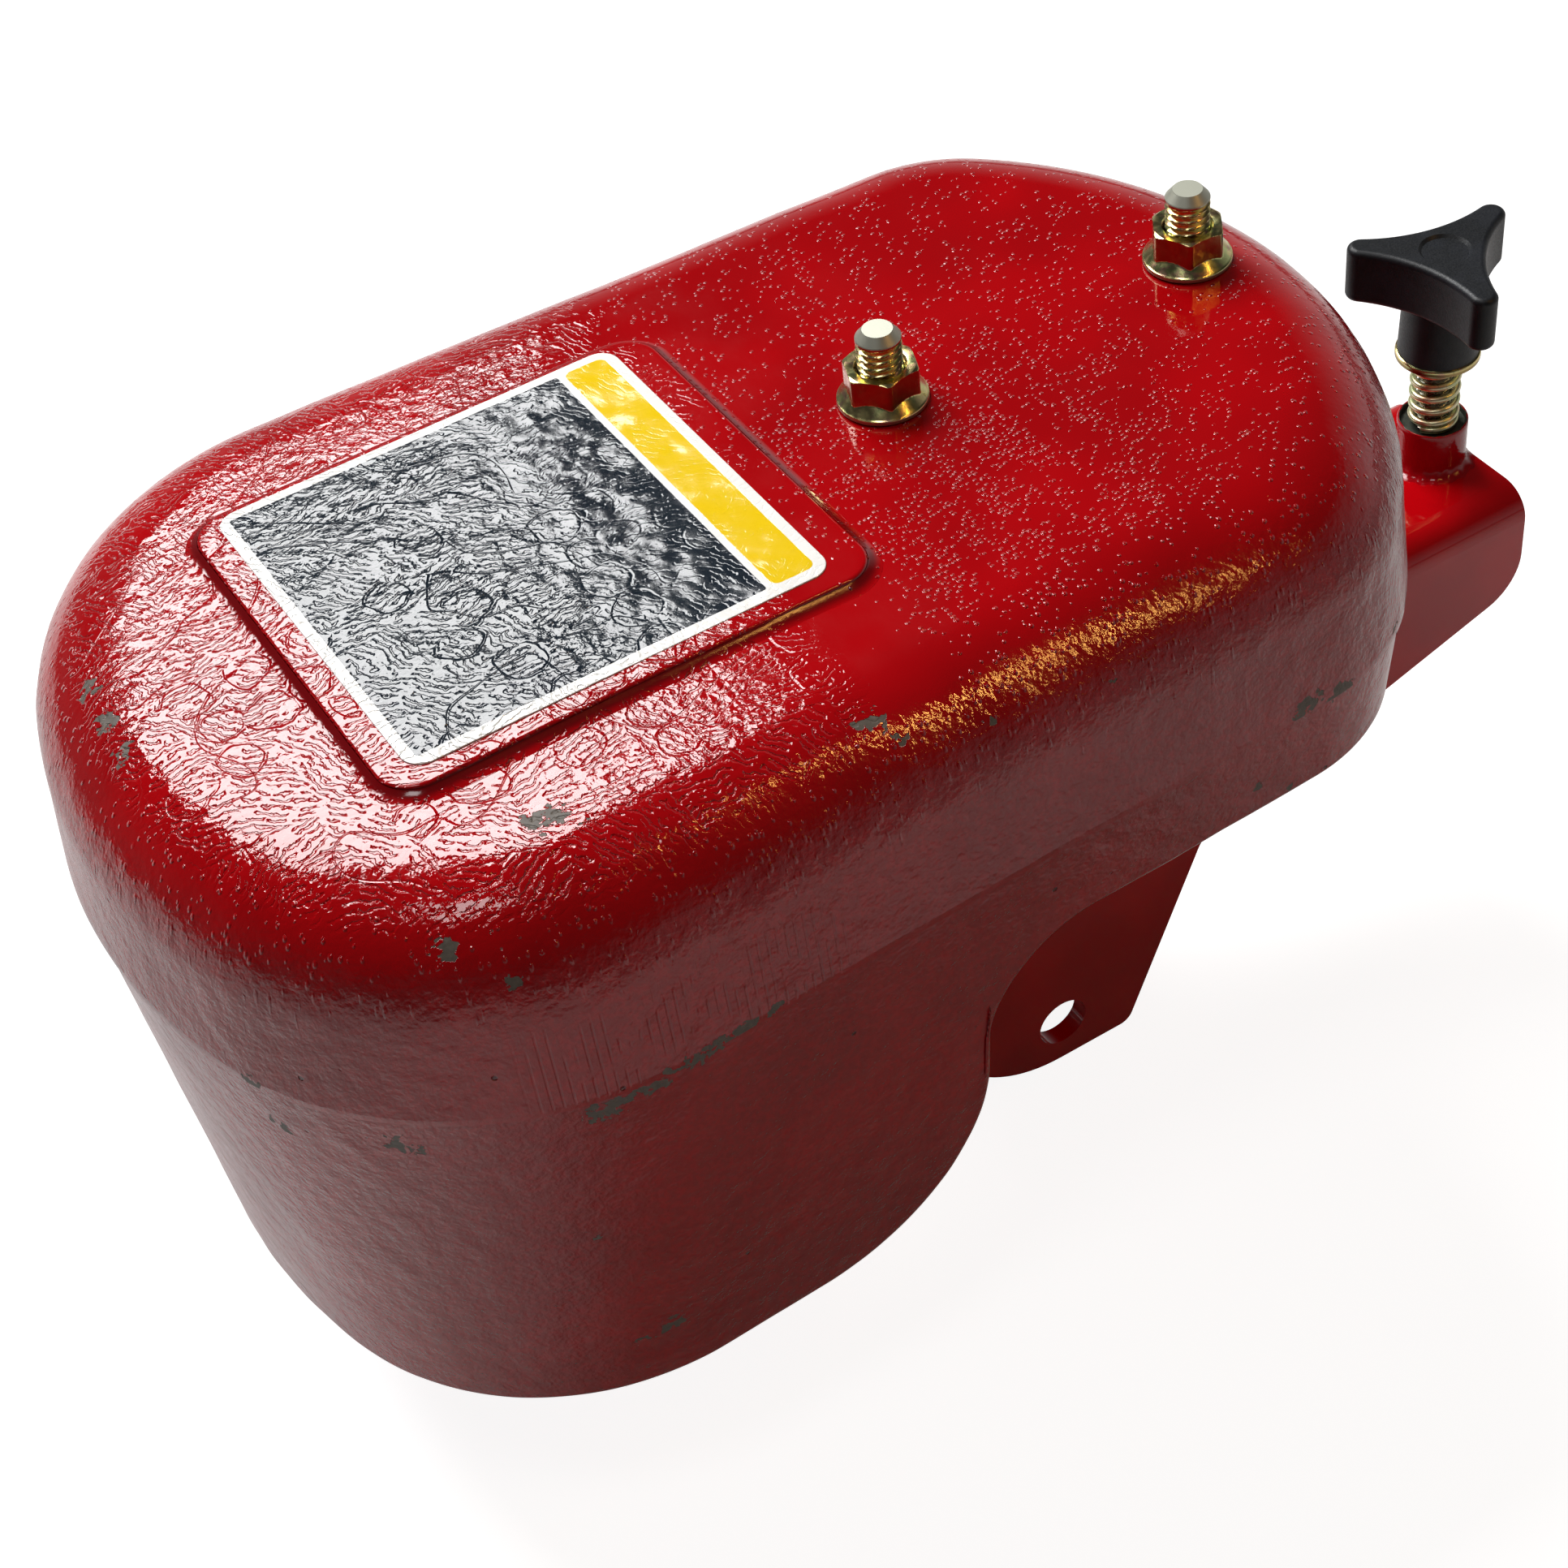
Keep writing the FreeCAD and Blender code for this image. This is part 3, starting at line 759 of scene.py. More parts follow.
@dataclass(frozen=True)
class MouldedNylon:
    """Glass-filled nylon, fine-textured by its mould: near black with a soft grey sheen on the rounds."""

    body: str = "#0D1014"
    rubbed: str = "#171A20"

    def build(self) -> bpy.types.Material:
        """Make the material.

        Returns:
            The material of the knob.
        """
        r = Recipe("moulded_black_nylon")
        grain = r.add(Kind.NOISE, 0.45, 3.0)
        height = r.add(Kind.PLUS, r.add(Kind.TIMES, grain, 0.03),
                       r.add(Kind.TIMES, r.add(Kind.NOISE, 6.0, 1.0), 0.05))
        patch = r.add(Kind.RAMP, r.add(Kind.NOISE, 8.0, 2.0), 0.4, 0.7)
        tone = r.add(Kind.COLOURS, patch, linear(self.body), linear(self.rubbed))
        return r.dress(height, Base_Color=tone, Roughness=r.add(Kind.RAMP, grain, 0.3, 0.7, 0.38, 0.50),
                       Specular_IOR_Level=0.32, IOR=1.53)


@dataclass(frozen=True)
class PrintedVinyl:
    """Printed vinyl film: pale border, yellow band, blue-black field, wrinkled with the enamel under it."""

    border: str = "#F1F1EE"
    band: str = "#E8C414"
    field: str = "#1A222C"

    def build(self, sheet: "DecalSheet") -> bpy.types.Material:
        """Make the material.

        Args:
            sheet: The sheet whose fields of colour are printed.

        Returns:
            The material.
        """
        r = Recipe("printed_vinyl_film")
        inside_field = self.patch(r, sheet.field_x, sheet.field_y, 0.6)
        inside_band = self.patch(r, sheet.band_x, sheet.field_y, 1.8)
        tone = r.add(Kind.COLOURS, inside_field, linear(self.border), linear(self.field))
        tone = r.add(Kind.COLOURS, inside_band, tone, linear(self.band))
        calm = r.add(Kind.TIMES, r.add(Kind.RAMP, inside_band, 0.0, 1.0, 0.95, 0.22),
                     r.add(Kind.RAMP, r.add(Kind.AXES, r.mm)[0], -84.0, -116.0, 0.15, 1.0))
        height = r.add(Kind.PLUS, r.add(Kind.TIMES, film_relief(r, 0.11), calm),
                       r.add(Kind.TIMES, r.add(Kind.NOISE, 6.0, 2.0), 0.08))
        rough = r.add(Kind.RAMP, r.add(Kind.NOISE, 9.0, 2.0), 0.3, 0.7, 0.08, 0.14)
        return r.dress(height, Base_Color=tone, Roughness=rough, Specular_IOR_Level=0.56, IOR=1.5)

    @staticmethod
    def patch(r: Recipe, x_range: tuple[float, float], y_range: tuple[float, float],
              corner: float) -> bpy.types.NodeSocket:
        """Mark a rectangle with round corners: the distance past a corner's middle is under its radius.

        Args:
            r: Recipe to add the mark to.
            x_range: Low and high X of the rectangle in millimetres.
            y_range: Low and high Y.
            corner: Radius of its corners.

        Returns:
            1 inside, 0 outside.
        """
        x, y, _ = r.add(Kind.AXES, r.mm)
        squares = []
        for value, (low, high) in ((x, x_range), (y, y_range)):
            away = r.add(Kind.SIZE, r.add(Kind.LESS, value, (low + high) / 2))
            past = r.add(Kind.LARGER, r.add(Kind.LESS, away, (high - low) / 2 - corner), 0.0)
            squares.append(r.add(Kind.TIMES, past, past))
        reach = r.add(Kind.ROOT, r.add(Kind.PLUS, *squares))
        return r.add(Kind.RAMP, reach, corner + 0.08, corner - 0.08)


# Casting

@dataclass(frozen=True)
class Knock:
    """Place where the enamel is chipped to the iron: its middle, reach and run along X in millimetres."""

    x: float
    y: float
    z: float
    reach: float
    run: float = 0.0


KNOCKS = tuple(Knock(*row) for row in (
    (-134.9, -64.3, 185.8, 2.2, 3.0), (-129.5, -69.0, 184.0, 1.5), (-152.0, -77.0, 178.0, 1.6),
    (-161.4, -74.8, 178.3, 1.6, 2.0), (-153.9, -83.1, 172.4, 1.4), (-73.8, -75.8, 183.0, 1.8, 2.0),
    (-70.0, -79.5, 180.0, 1.3), (-52.0, -82.0, 176.0, 1.3), (-25.1, -84.0, 172.0, 1.2),
    (-189.0, 11.8, 183.1, 2.4), (-189.9, 1.6, 183.1, 2.0), (-188.0, 22.8, 182.7, 1.8),
    (18.9, -88.0, 143.1, 1.8, 3.0), (27.0, -87.0, 141.5, 1.6, 4.0), (48.0, -82.0, 143.0, 1.4),
    (-145.0, -90.3, 136.8, 2.2, 3.0), (-137.0, -91.4, 138.6, 1.5, 8.0),
    (-127.0, -92.2, 140.4, 1.7, 10.0), (-118.0, -92.6, 141.6, 1.2, 8.0),
    (-110.0, -92.8, 142.6, 1.0, 6.0), (-178.6, -71.5, 133.2, 2.2), (-175.0, -74.0, 131.8, 1.5),
    (-193.4, -50.7, 127.8, 1.3), (-194.6, -48.8, 129.6, 1.0), (-196.0, -49.4, 141.8, 1.6, 2.0),
    (-137.4, -84.3, 57.4, 2.2), (-143.0, -82.0, 56.0, 1.2, 4.0), (17.6, -85.5, 118.9, 1.0),
    (8.4, -86.4, 125.2, 1.0), (-150.0, -86.0, 97.0, 1.0),
))


@dataclass(frozen=True)
class CastingPlan:
    """Plan of the casting at its parting line: nose, corner and side arcs that touch."""

    near_tip_x: float = -205.6
    near_nose: float = 133.8
    near_corner: float = 73.8
    near_half_width: float = 92.9
    far_tip_x: float = 86.9
    far_nose: float = 104.1
    far_corner: float = 45.5
    far_half_width: float = 87.9

    def half(self) -> list[tuple[float, float, float, float, float]]:
        """Work out the arcs of the +Y half, from the far tip to the near tip.

        A nose and its corner touch, so their centres lie the difference of their radii apart. The side
        is the straight line that touches both corners.

        Returns:
            Centre x, centre y, radius, first and last normal angle of each arc.
        """
        near_nose_x = self.near_tip_x + self.near_nose
        far_nose_x = self.far_tip_x - self.far_nose
        near_y = self.near_half_width - self.near_corner
        far_y = self.far_half_width - self.far_corner
        near_x = near_nose_x - math.sqrt((self.near_nose - self.near_corner) ** 2 - near_y ** 2)
        far_x = far_nose_x + math.sqrt((self.far_nose - self.far_corner) ** 2 - far_y ** 2)
        span = math.hypot(far_x - near_x, far_y - near_y)
        slope = math.atan2(far_y - near_y, far_x - near_x)
        lean = math.asin((self.near_corner - self.far_corner) / span) - slope
        side = math.pi / 2 - lean
        far_turn = math.atan2(far_y, far_x - far_nose_x)
        near_turn = math.atan2(near_y, near_x - near_nose_x)
        return [(far_nose_x, 0.0, self.far_nose, 0.0, far_turn),
                (far_x, far_y, self.far_corner, far_turn, side),
                (near_x, near_y, self.near_corner, side, near_turn),
                (near_nose_x, 0.0, self.near_nose, near_turn, math.pi)]

    def half_outline(self) -> Outline:
        """Outline of the +Y half."""
        return Outline.from_arcs(self.half())

    def outline(self) -> Outline:
        """Join the +Y half and its mirror image.

        Returns:
            The whole outline.
        """
        half = self.half()
        other = [(x, -y, radius, 2 * math.pi - last, 2 * math.pi - first)
                 for x, y, radius, first, last in reversed(half)]
        return Outline.from_arcs(half + other)


@dataclass
class Casting:
    """Two drafted halves of the iron casting, its decal pad and the seat for the bracket."""

    plan: CastingPlan
    draft: float = math.radians(5.0)
    top_radius: float = 25.4
    parting_step: float = 0.7
    rim_radius: float = 2.5
    wall_x: float = -57.0
    inner_radius: float = 25.0
    outer_radius: float = 44.0
    columns: int = 720
    pad_centre: tuple[float, float] = (-102.8, 2.0)
    pad_length: float = 105.0
    pad_width: float = 95.0
    pad_corner: float = 8.0
    pad_height: float = 2.0
    film_end_x: float = -70.0
    spine: tuple[float, float] = (-118.0, 12.0)
    seat_centre: tuple[float, float] = (21.5, 0.0)
    seat_length: float = 109.0
    seat_width: float = 42.0
    seat_corner: float = 12.0
    seat_flare: float = 4.0

    def roughen(self, mesh: bpy.types.Mesh, share: float = 1.0) -> bpy.types.Mesh:
        """Push the skin in and out along its normals, as a sand mould and thick enamel leave it.

        Height in words: a slow swell 45 mm across, lumps 14 and 5 mm across and drips drawn out
        downwards. Each point also gets marks from 0 to 1 that the enamel reads: film where packing
        film wrinkled it, wall on upright faces, sand where grains show, bare at the knocks and groove
        in the thick enamel round the pad, which the enamel darkens as painted shade.

        Args:
            mesh: Smooth skin in metres.
            share: Share of the full depth.

        Returns:
            The same mesh, roughened and marked with its regions.
        """
        count = len(mesh.vertices)
        place = np.empty(count * 3, np.float32)
        mesh.vertices.foreach_get("co", place)
        place = place.reshape(-1, 3).astype(float) / METRES
        normal = np.empty(count * 3, np.float32)
        mesh.vertex_normals.foreach_get("vector", normal)
        normal = normal.reshape(-1, 3)
        x, y, z = place.T
        wall = 1 - eased(np.abs(normal[:, 2]), 0.35, 0.85)
        swell = 0.30 * lattice_noise(place, 45.0, 1) + 0.12 * lattice_noise(place, 14.0, 2)
        drip = lattice_noise(place * (1.0, 1.0, 0.22), 7.0, 3) * wall
        lump = swell + 0.10 * drip + 0.05 * lattice_noise(place, 5.0, 4) * wall
        moved = place + normal * (lump * share)[:, None]
        mesh.vertices.foreach_set("co", (moved * METRES).astype(np.float32).ravel())
        upper = eased(z, 172.0, 182.0)
        flat = eased(z, 179.0, 184.5)
        ragged = x - 0.13 * y + 7.0 * lattice_noise(place, 11.0, 5)
        clear = self.clear_of_pad(x, y, z)
        film = flat * (1 - eased(ragged, self.film_end_x - 20, self.film_end_x + 14)) * clear
        thick = np.exp(-((x + 22.0) / 36.0) ** 2 - ((y + 28.0) / 42.0) ** 2)
        sand = flat * eased(x, -62.0, -48.0) * (0.32 + 0.60 * thick)
        sand = sand + 0.45 * eased(z, 160.0, 170.0) * (1 - flat)
        bare = np.zeros(count)
        for knock in KNOCKS:
            apart = np.abs(place - (knock.x, knock.y, knock.z))
            apart[:, 0] = np.maximum(apart[:, 0] - knock.run / 2, 0)
            away = np.sqrt((apart ** 2).sum(1))
            bare = np.maximum(bare, 1 - away / (2 * knock.reach))
        for name, values in (("film", film), ("wall", wall * (1 - upper)), ("sand", sand), ("bare", bare),
                             ("groove", flat * (1 - clear))):
            layer = mesh.attributes.new(name, "FLOAT", "POINT")
            layer.data.foreach_set("value", values.astype(np.float32))
        mesh.update()
        return mesh

    def clear_of_pad(self, x: Array, y: Array, z: Array) -> Array:
        """Tell the pad's foot from the rest, by the distance from the pad's round-cornered outline.

        Args:
            x: X of the places.
            y: Y of the places.
            z: Z of the places.

        Returns:
            1 away from the foot and on the pad, 0 in the thick enamel that fills the foot.
        """
        past_x = np.abs(x - self.pad_centre[0]) - self.pad_length / 2 + self.pad_corner
        past_y = np.abs(y - self.pad_centre[1]) - self.pad_width / 2 + self.pad_corner
        away = np.hypot(np.maximum(past_x, 0), np.maximum(past_y, 0)) - self.pad_corner
        return np.where(z > TOP_Z + self.pad_height - 0.6, 1.0, eased(away, 0.8, 2.4))

    def upper_half(self) -> bpy.types.Mesh:
        """Cope half: drafted wall, top edge of one radius and flat top, carried round the plan.

        Returns:
            Its mesh.
        """
        centre_z = TOP_Z - self.top_radius
        tangent_z = centre_z + self.top_radius * math.sin(self.draft)
        tangent_inset = (tangent_z - PARTING_Z) * math.tan(self.draft)
        centre = (tangent_inset + self.top_radius * math.cos(self.draft), centre_z)
        height = np.linspace(PARTING_Z, tangent_z, 17)[:-1]
        wall = np.stack([(height - PARTING_Z) * math.tan(self.draft), height], -1)
        edge = arc_rows(centre, self.top_radius, math.degrees(self.draft), 90.0, 30)
        skin = carried_round(self.plan.outline(), self.columns, np.concatenate([wall, edge]))
        top = drawn_to_spine(skin[-1], *self.spine, 0.0, 56)
        floor = drawn_to_spine(skin[0], *self.spine, 0.0, 4)
        return Surface.empty().add(skin).add(top).add(floor).mesh("cope_half")

    def underside(self, x: Array) -> Array:
        """Height of the underside: deep flat, rounded step, upright wall, hollow and shallow flat.

        Args:
            x: X of the places.

        Returns:
            Height at each place.
        """
        outer_x = self.wall_x - self.outer_radius
        inner_x = self.wall_x + self.inner_radius
        outer_rise = np.sqrt(np.clip(self.outer_radius ** 2 - (x - outer_x) ** 2, 0, None))
        inner_rise = np.sqrt(np.clip(self.inner_radius ** 2 - (x - inner_x) ** 2, 0, None))
        heights = [SHALLOW_Z, SHALLOW_Z - self.inner_radius + inner_rise,
                   DEEP_Z + self.outer_radius - outer_rise]
        return np.select([x >= inner_x, x >= self.wall_x, x >= outer_x], heights, DEEP_Z)

    def underside_normal(self, x: Array, z: Array) -> Array:
        """Way out of the iron through the underside.

        Args:
            x: X of places on the underside.
            z: Their heights.

        Returns:
            Unit vectors, one a row.
        """
        outer_x = self.wall_x - self.outer_radius
        inner_x = self.wall_x + self.inner_radius
        outer_z = DEEP_Z + self.outer_radius
        inner_z = SHALLOW_Z - self.inner_radius
        hollow = (x > self.wall_x - 0.01) & (x < inner_x) & (z > inner_z)
        upright = (z >= outer_z) & (z <= inner_z)
        round_ = (x > outer_x) & (z < outer_z)
        across = np.select([hollow, upright, round_], [inner_x - x, 1.0, x - outer_x], 0.0)
        down = np.select([hollow, upright, round_], [inner_z - z, 0.0, z - outer_z], -1.0)
        size = np.hypot(across, down)
        return np.stack([across / size, np.zeros_like(x), down / size], -1)

    def lower_wall(self, outline: Outline, distance: Array, depth: Array) -> tuple[Array, Array]:
        """Drafted wall below the parting line: the plan moved in by the step and by depth x tan(draft).

        Args:
            outline: Half outline of the plan.
            distance: Distances along it.
            depth: Depths below the parting line.

        Returns:
            Places on the wall and its outward normals.
        """
        place, normal = outline.at(distance)
        inset = self.parting_step + depth * math.tan(self.draft)
        point = np.concatenate([place - inset[..., None] * normal, (PARTING_Z - depth)[..., None]], -1)
        sink = np.full(distance.shape + (1,), -math.sin(self.draft))
        return point, np.concatenate([normal * math.cos(self.draft), sink], -1)

    def lower_half(self) -> bpy.types.Mesh:
        """Drag half: wall down to a rim where the stepped underside cuts it, rolled rim and underside.

        Each column runs from the parting line to an even step along the rim. Its foot is found by halving
        the depth range until the wall meets the underside. The rim is an arc between the two faces.
        The columns' heads are spread by a smooth window, so that no column leans much.

        Returns:
            Its mesh.
        """
        outline = self.plan.half_outline()
        fine = np.linspace(0, outline.length, 8001)
        low, high = np.zeros_like(fine), np.full_like(fine, PARTING_Z - DEEP_Z + 1)
        for _ in range(40):
            middle = (low + high) / 2
            point, _ = self.lower_wall(outline, fine, middle)
            above = point[:, 2] > self.underside(point[:, 0])
            low, high = np.where(above, middle, low), np.where(above, high, middle)
        rim, _ = self.lower_wall(outline, fine, high)
        run = np.concatenate([[0.0], np.cumsum(np.linalg.norm(np.diff(rim, axis=0), axis=1))])
        even = np.linspace(0, run[-1], self.columns // 2 + 61)
        rim_at = np.interp(even, run, fine)
        rim_depth = np.interp(even, run, high)
        spread = 31
        window = np.hanning(2 * spread + 1)
        mirrored = np.concatenate([-rim_at[spread:0:-1], rim_at,
                                   2 * outline.length - rim_at[-2:-spread - 2:-1]])
        top_at = np.convolve(mirrored, window / window.sum(), "valid")
        top_at[0], top_at[-1] = 0.0, outline.length
        corner, wall_normal = self.lower_wall(outline, rim_at, rim_depth)
        under_normal = self.underside_normal(corner[:, 0], corner[:, 2])
        facing = (wall_normal * under_normal).sum(1, keepdims=True)
        centre = corner - self.rim_radius / (1 + facing) * (wall_normal + under_normal)
        on_wall = centre + self.rim_radius * wall_normal
        share = np.linspace(0, 1, 58)[:, None]
        wall, _ = self.lower_wall(outline, (1 - share) * top_at + share * rim_at, share * rim_depth)
        wall = wall + share[..., None] * (on_wall - corner)
        turn = np.linspace(0, 1, 6)[1:, None, None]
        toward = (1 - turn) * wall_normal + turn * under_normal
        roll = centre + self.rim_radius * toward / np.linalg.norm(toward, axis=-1, keepdims=True)
        side = np.concatenate([wall, roll])
        edge = side[-1]
        across = np.linspace(1, -1, 44)[:, None, None] * (0.0, 1.0, 0.0)
        base = edge * (1.0, 0.0, 1.0) + across * edge
        cap_edge = wall[0] + (0.0, 0.0, 1.5)
        cap = cap_edge * (1.0, 0.0, 1.0) + np.linspace(1, -1, 8)[:, None, None] * (0.0, 1.0, 0.0) * cap_edge
        side = np.concatenate([cap_edge[None], side])
        surface = Surface.empty().add(side, False).add(side * (1.0, -1.0, 1.0), False)
        return surface.add(base, False).add(cap, False).mesh("drag_half", 50.0)

    def pad(self) -> bpy.types.Mesh:
        """Raised pad: sloping foot that steepens inwards, rounded edge and flat top, carried round.

        Returns:
            Its mesh.
        """
        outline = Outline.rounded_rectangle(self.pad_centre, self.pad_length, self.pad_width, self.pad_corner)
        share = np.linspace(0, 1, 14)
        foot = np.stack([-2.8 * (1 - share), TOP_Z - 0.08 + 1.45 * share ** 1.3], -1)
        edge = arc_rows((0.9, TOP_Z + self.pad_height - 0.9), 0.9, 0.0, 90.0, 6)
        buried = np.array([[-2.8, TOP_Z - 1.2]])
        skin = carried_round(outline, 460, np.concatenate([buried, foot, edge]))
        half = (self.pad_length - self.pad_width) / 2 + 6
        spine = (self.pad_centre[0] - half, self.pad_centre[0] + half, self.pad_centre[1])
        top = drawn_to_spine(skin[-1], *spine, 48)
        floor = drawn_to_spine(skin[0], *spine, 4)
        return Surface.empty().add(skin).add(top).add(floor).mesh("decal_pad")

    def seat(self) -> bpy.types.Mesh:
        """Seat under the shallow end: upright block with round corners that flares up into the casting.

        Returns:
            Its mesh.
        """
        outline = Outline.rounded_rectangle(self.seat_centre, self.seat_length, self.seat_width,
                                            self.seat_corner)
        flare_z = SHALLOW_Z - self.seat_flare
        flare = arc_rows((-4.2, flare_z), self.seat_flare, 180.0, 90.0, 8) + (0.4, 0.0)
        wall = along_points([(0.0, WEB_TOP + 0.5), (-0.6, flare_z)], 1.6)
        profile = np.concatenate([[[0.5, WEB_TOP]], wall, flare, [[-4.6, SHALLOW_Z + 1.0]]])
        skin = carried_round(outline, 240, profile)
        floor = drawn_to_spine(skin[0], -15.0, 58.0, 0.0, 12)
        lid = drawn_to_spine(skin[-1], -15.0, 58.0, 0.0, 4)
        return Surface.empty().add(skin).add(floor).add(lid).mesh("bracket_seat")

    def build(self, enamel: bpy.types.Material) -> list[bpy.types.Object]:
        """Make and dress the casting's skins.

        Args:
            enamel: Their finish.

        Returns:
            The pieces, the one that stands for the casting first.
        """
        first = shown(self.roughen(self.upper_half()), enamel, Body.WEIGHT, Slot.CASTING,
                      ["weight_casting"])
        rest = [shown(self.roughen(mesh, share), enamel, Body.WEIGHT, Slot.CASTING)
                for mesh, share in ((self.lower_half(), 1.0), (self.pad(), 0.5), (self.seat(), 0.4))]
        return [first, *rest]


@dataclass
class DecalSheet:
    """Self-adhesive sheet on the pad, with a border, a band and a field of plain colour."""

    centre: tuple[float, float] = (-103.9, 3.6)
    length: float = 91.0
    width: float = 89.0
    corner: float = 4.5
    thickness: float = 0.25
    base_z: float = TOP_Z + 2.0
    field_x: tuple[float, float] = (-147.0, -72.0)
    band_x: tuple[float, float] = (-70.5, -61.0)
    field_y: tuple[float, float] = (-38.3, 45.6)

    def mesh(self) -> bpy.types.Mesh:
        """Thin sheet with a rounded edge, carried round a rounded rectangle and gently puckered.

        Returns:
            Its mesh.
        """
        outline = Outline.rounded_rectangle(self.centre, self.length, self.width, self.corner)
        high = self.base_z + self.thickness
        profile = np.array([[0.0, self.base_z - 0.45], [0.0, high - 0.1], [0.1, high]])
        skin = carried_round(outline, 400, profile)
        first, last = self.centre[0] - 4, self.centre[0] + 4
        top = drawn_to_spine(skin[-1], first, last, self.centre[1], 60)
        floor = drawn_to_spine(skin[0], first, last, self.centre[1], 3)
        flat = top.reshape(-1, 3)
        pucker = 0.10 * lattice_noise(flat, 6.0, 8) + 0.06 * lattice_noise(flat, 2.6, 9)
        fade = np.minimum(1.0, np.arange(60) / 3)[:, None]
        top[..., 2] += (pucker.reshape(top.shape[:2]) + 0.12) * fade
        return Surface.empty().add(skin).add(top).add(floor).mesh("decal_sheet")

    def build(self, vinyl: PrintedVinyl) -> bpy.types.Object:
        """Make and dress the sheet."""
        return shown(self.mesh(), vinyl.build(self), Body.WEIGHT, Slot.DECAL, ["decal"])


# Fasteners

@dataclass(frozen=True)
class Thread:
    """Right-hand screw thread: outside radius, pitch and depth of its V."""

    radius: float
    pitch: float
    depth: float

    def grid(self, x: float, low: float, high: float, chamfer: tuple[float, float], tip: float,
             columns: int = 56) -> Array:
        """Threaded rod from low to high, with both ends closed.

        Radius in words: the outside radius less the depth of a flat-topped V that climbs one pitch a turn,
        and never more than the chamfer's cone allows near either end.

        Args:
            x: X of the rod's axis.
            low: Height of the lower end.
            high: Height of the upper end.
            chamfer: Height and width of the cone at each end.
            tip: Length of the plain part at the upper end.
            columns: Points round the rod.

        Returns:
            Grid of points, closed at both ends.
        """
        angle = np.arange(columns) * 2 * math.pi / columns
        height = np.linspace(low, high, max(8, int((high - low) / self.pitch * 14)))[:, None]
        phase = (height / self.pitch - angle / (2 * math.pi)) % 1.0
        cut = np.clip(1.25 - 2.9 * np.abs(phase - 0.5), 0.0, 1.0)
        cut = cut * np.clip((high - tip - height) / 0.5, 0.0, 1.0)
        radius = self.radius - self.depth * cut
        from_end = np.minimum(np.minimum(high - height, height - low), chamfer[0])
        limit = self.radius - chamfer[1] * (1 - from_end / chamfer[0])
        radius = np.minimum(radius, np.maximum(limit, 0.3))
        share = np.linspace(1, 0, 7)[1:, None]
        cap_radius = radius[-1] * share
        cap_height = np.full_like(share, high)
        foot = radius[:1] * np.linspace(0, 1, 4)[:-1, None]
        radius = np.concatenate([foot, radius, cap_radius])
        height = np.concatenate([np.full((3, 1), low), height, cap_height])
        flat = np.broadcast_to(height, radius.shape)
        return np.stack([x + radius * np.cos(angle), radius * np.sin(angle), flat], -1)


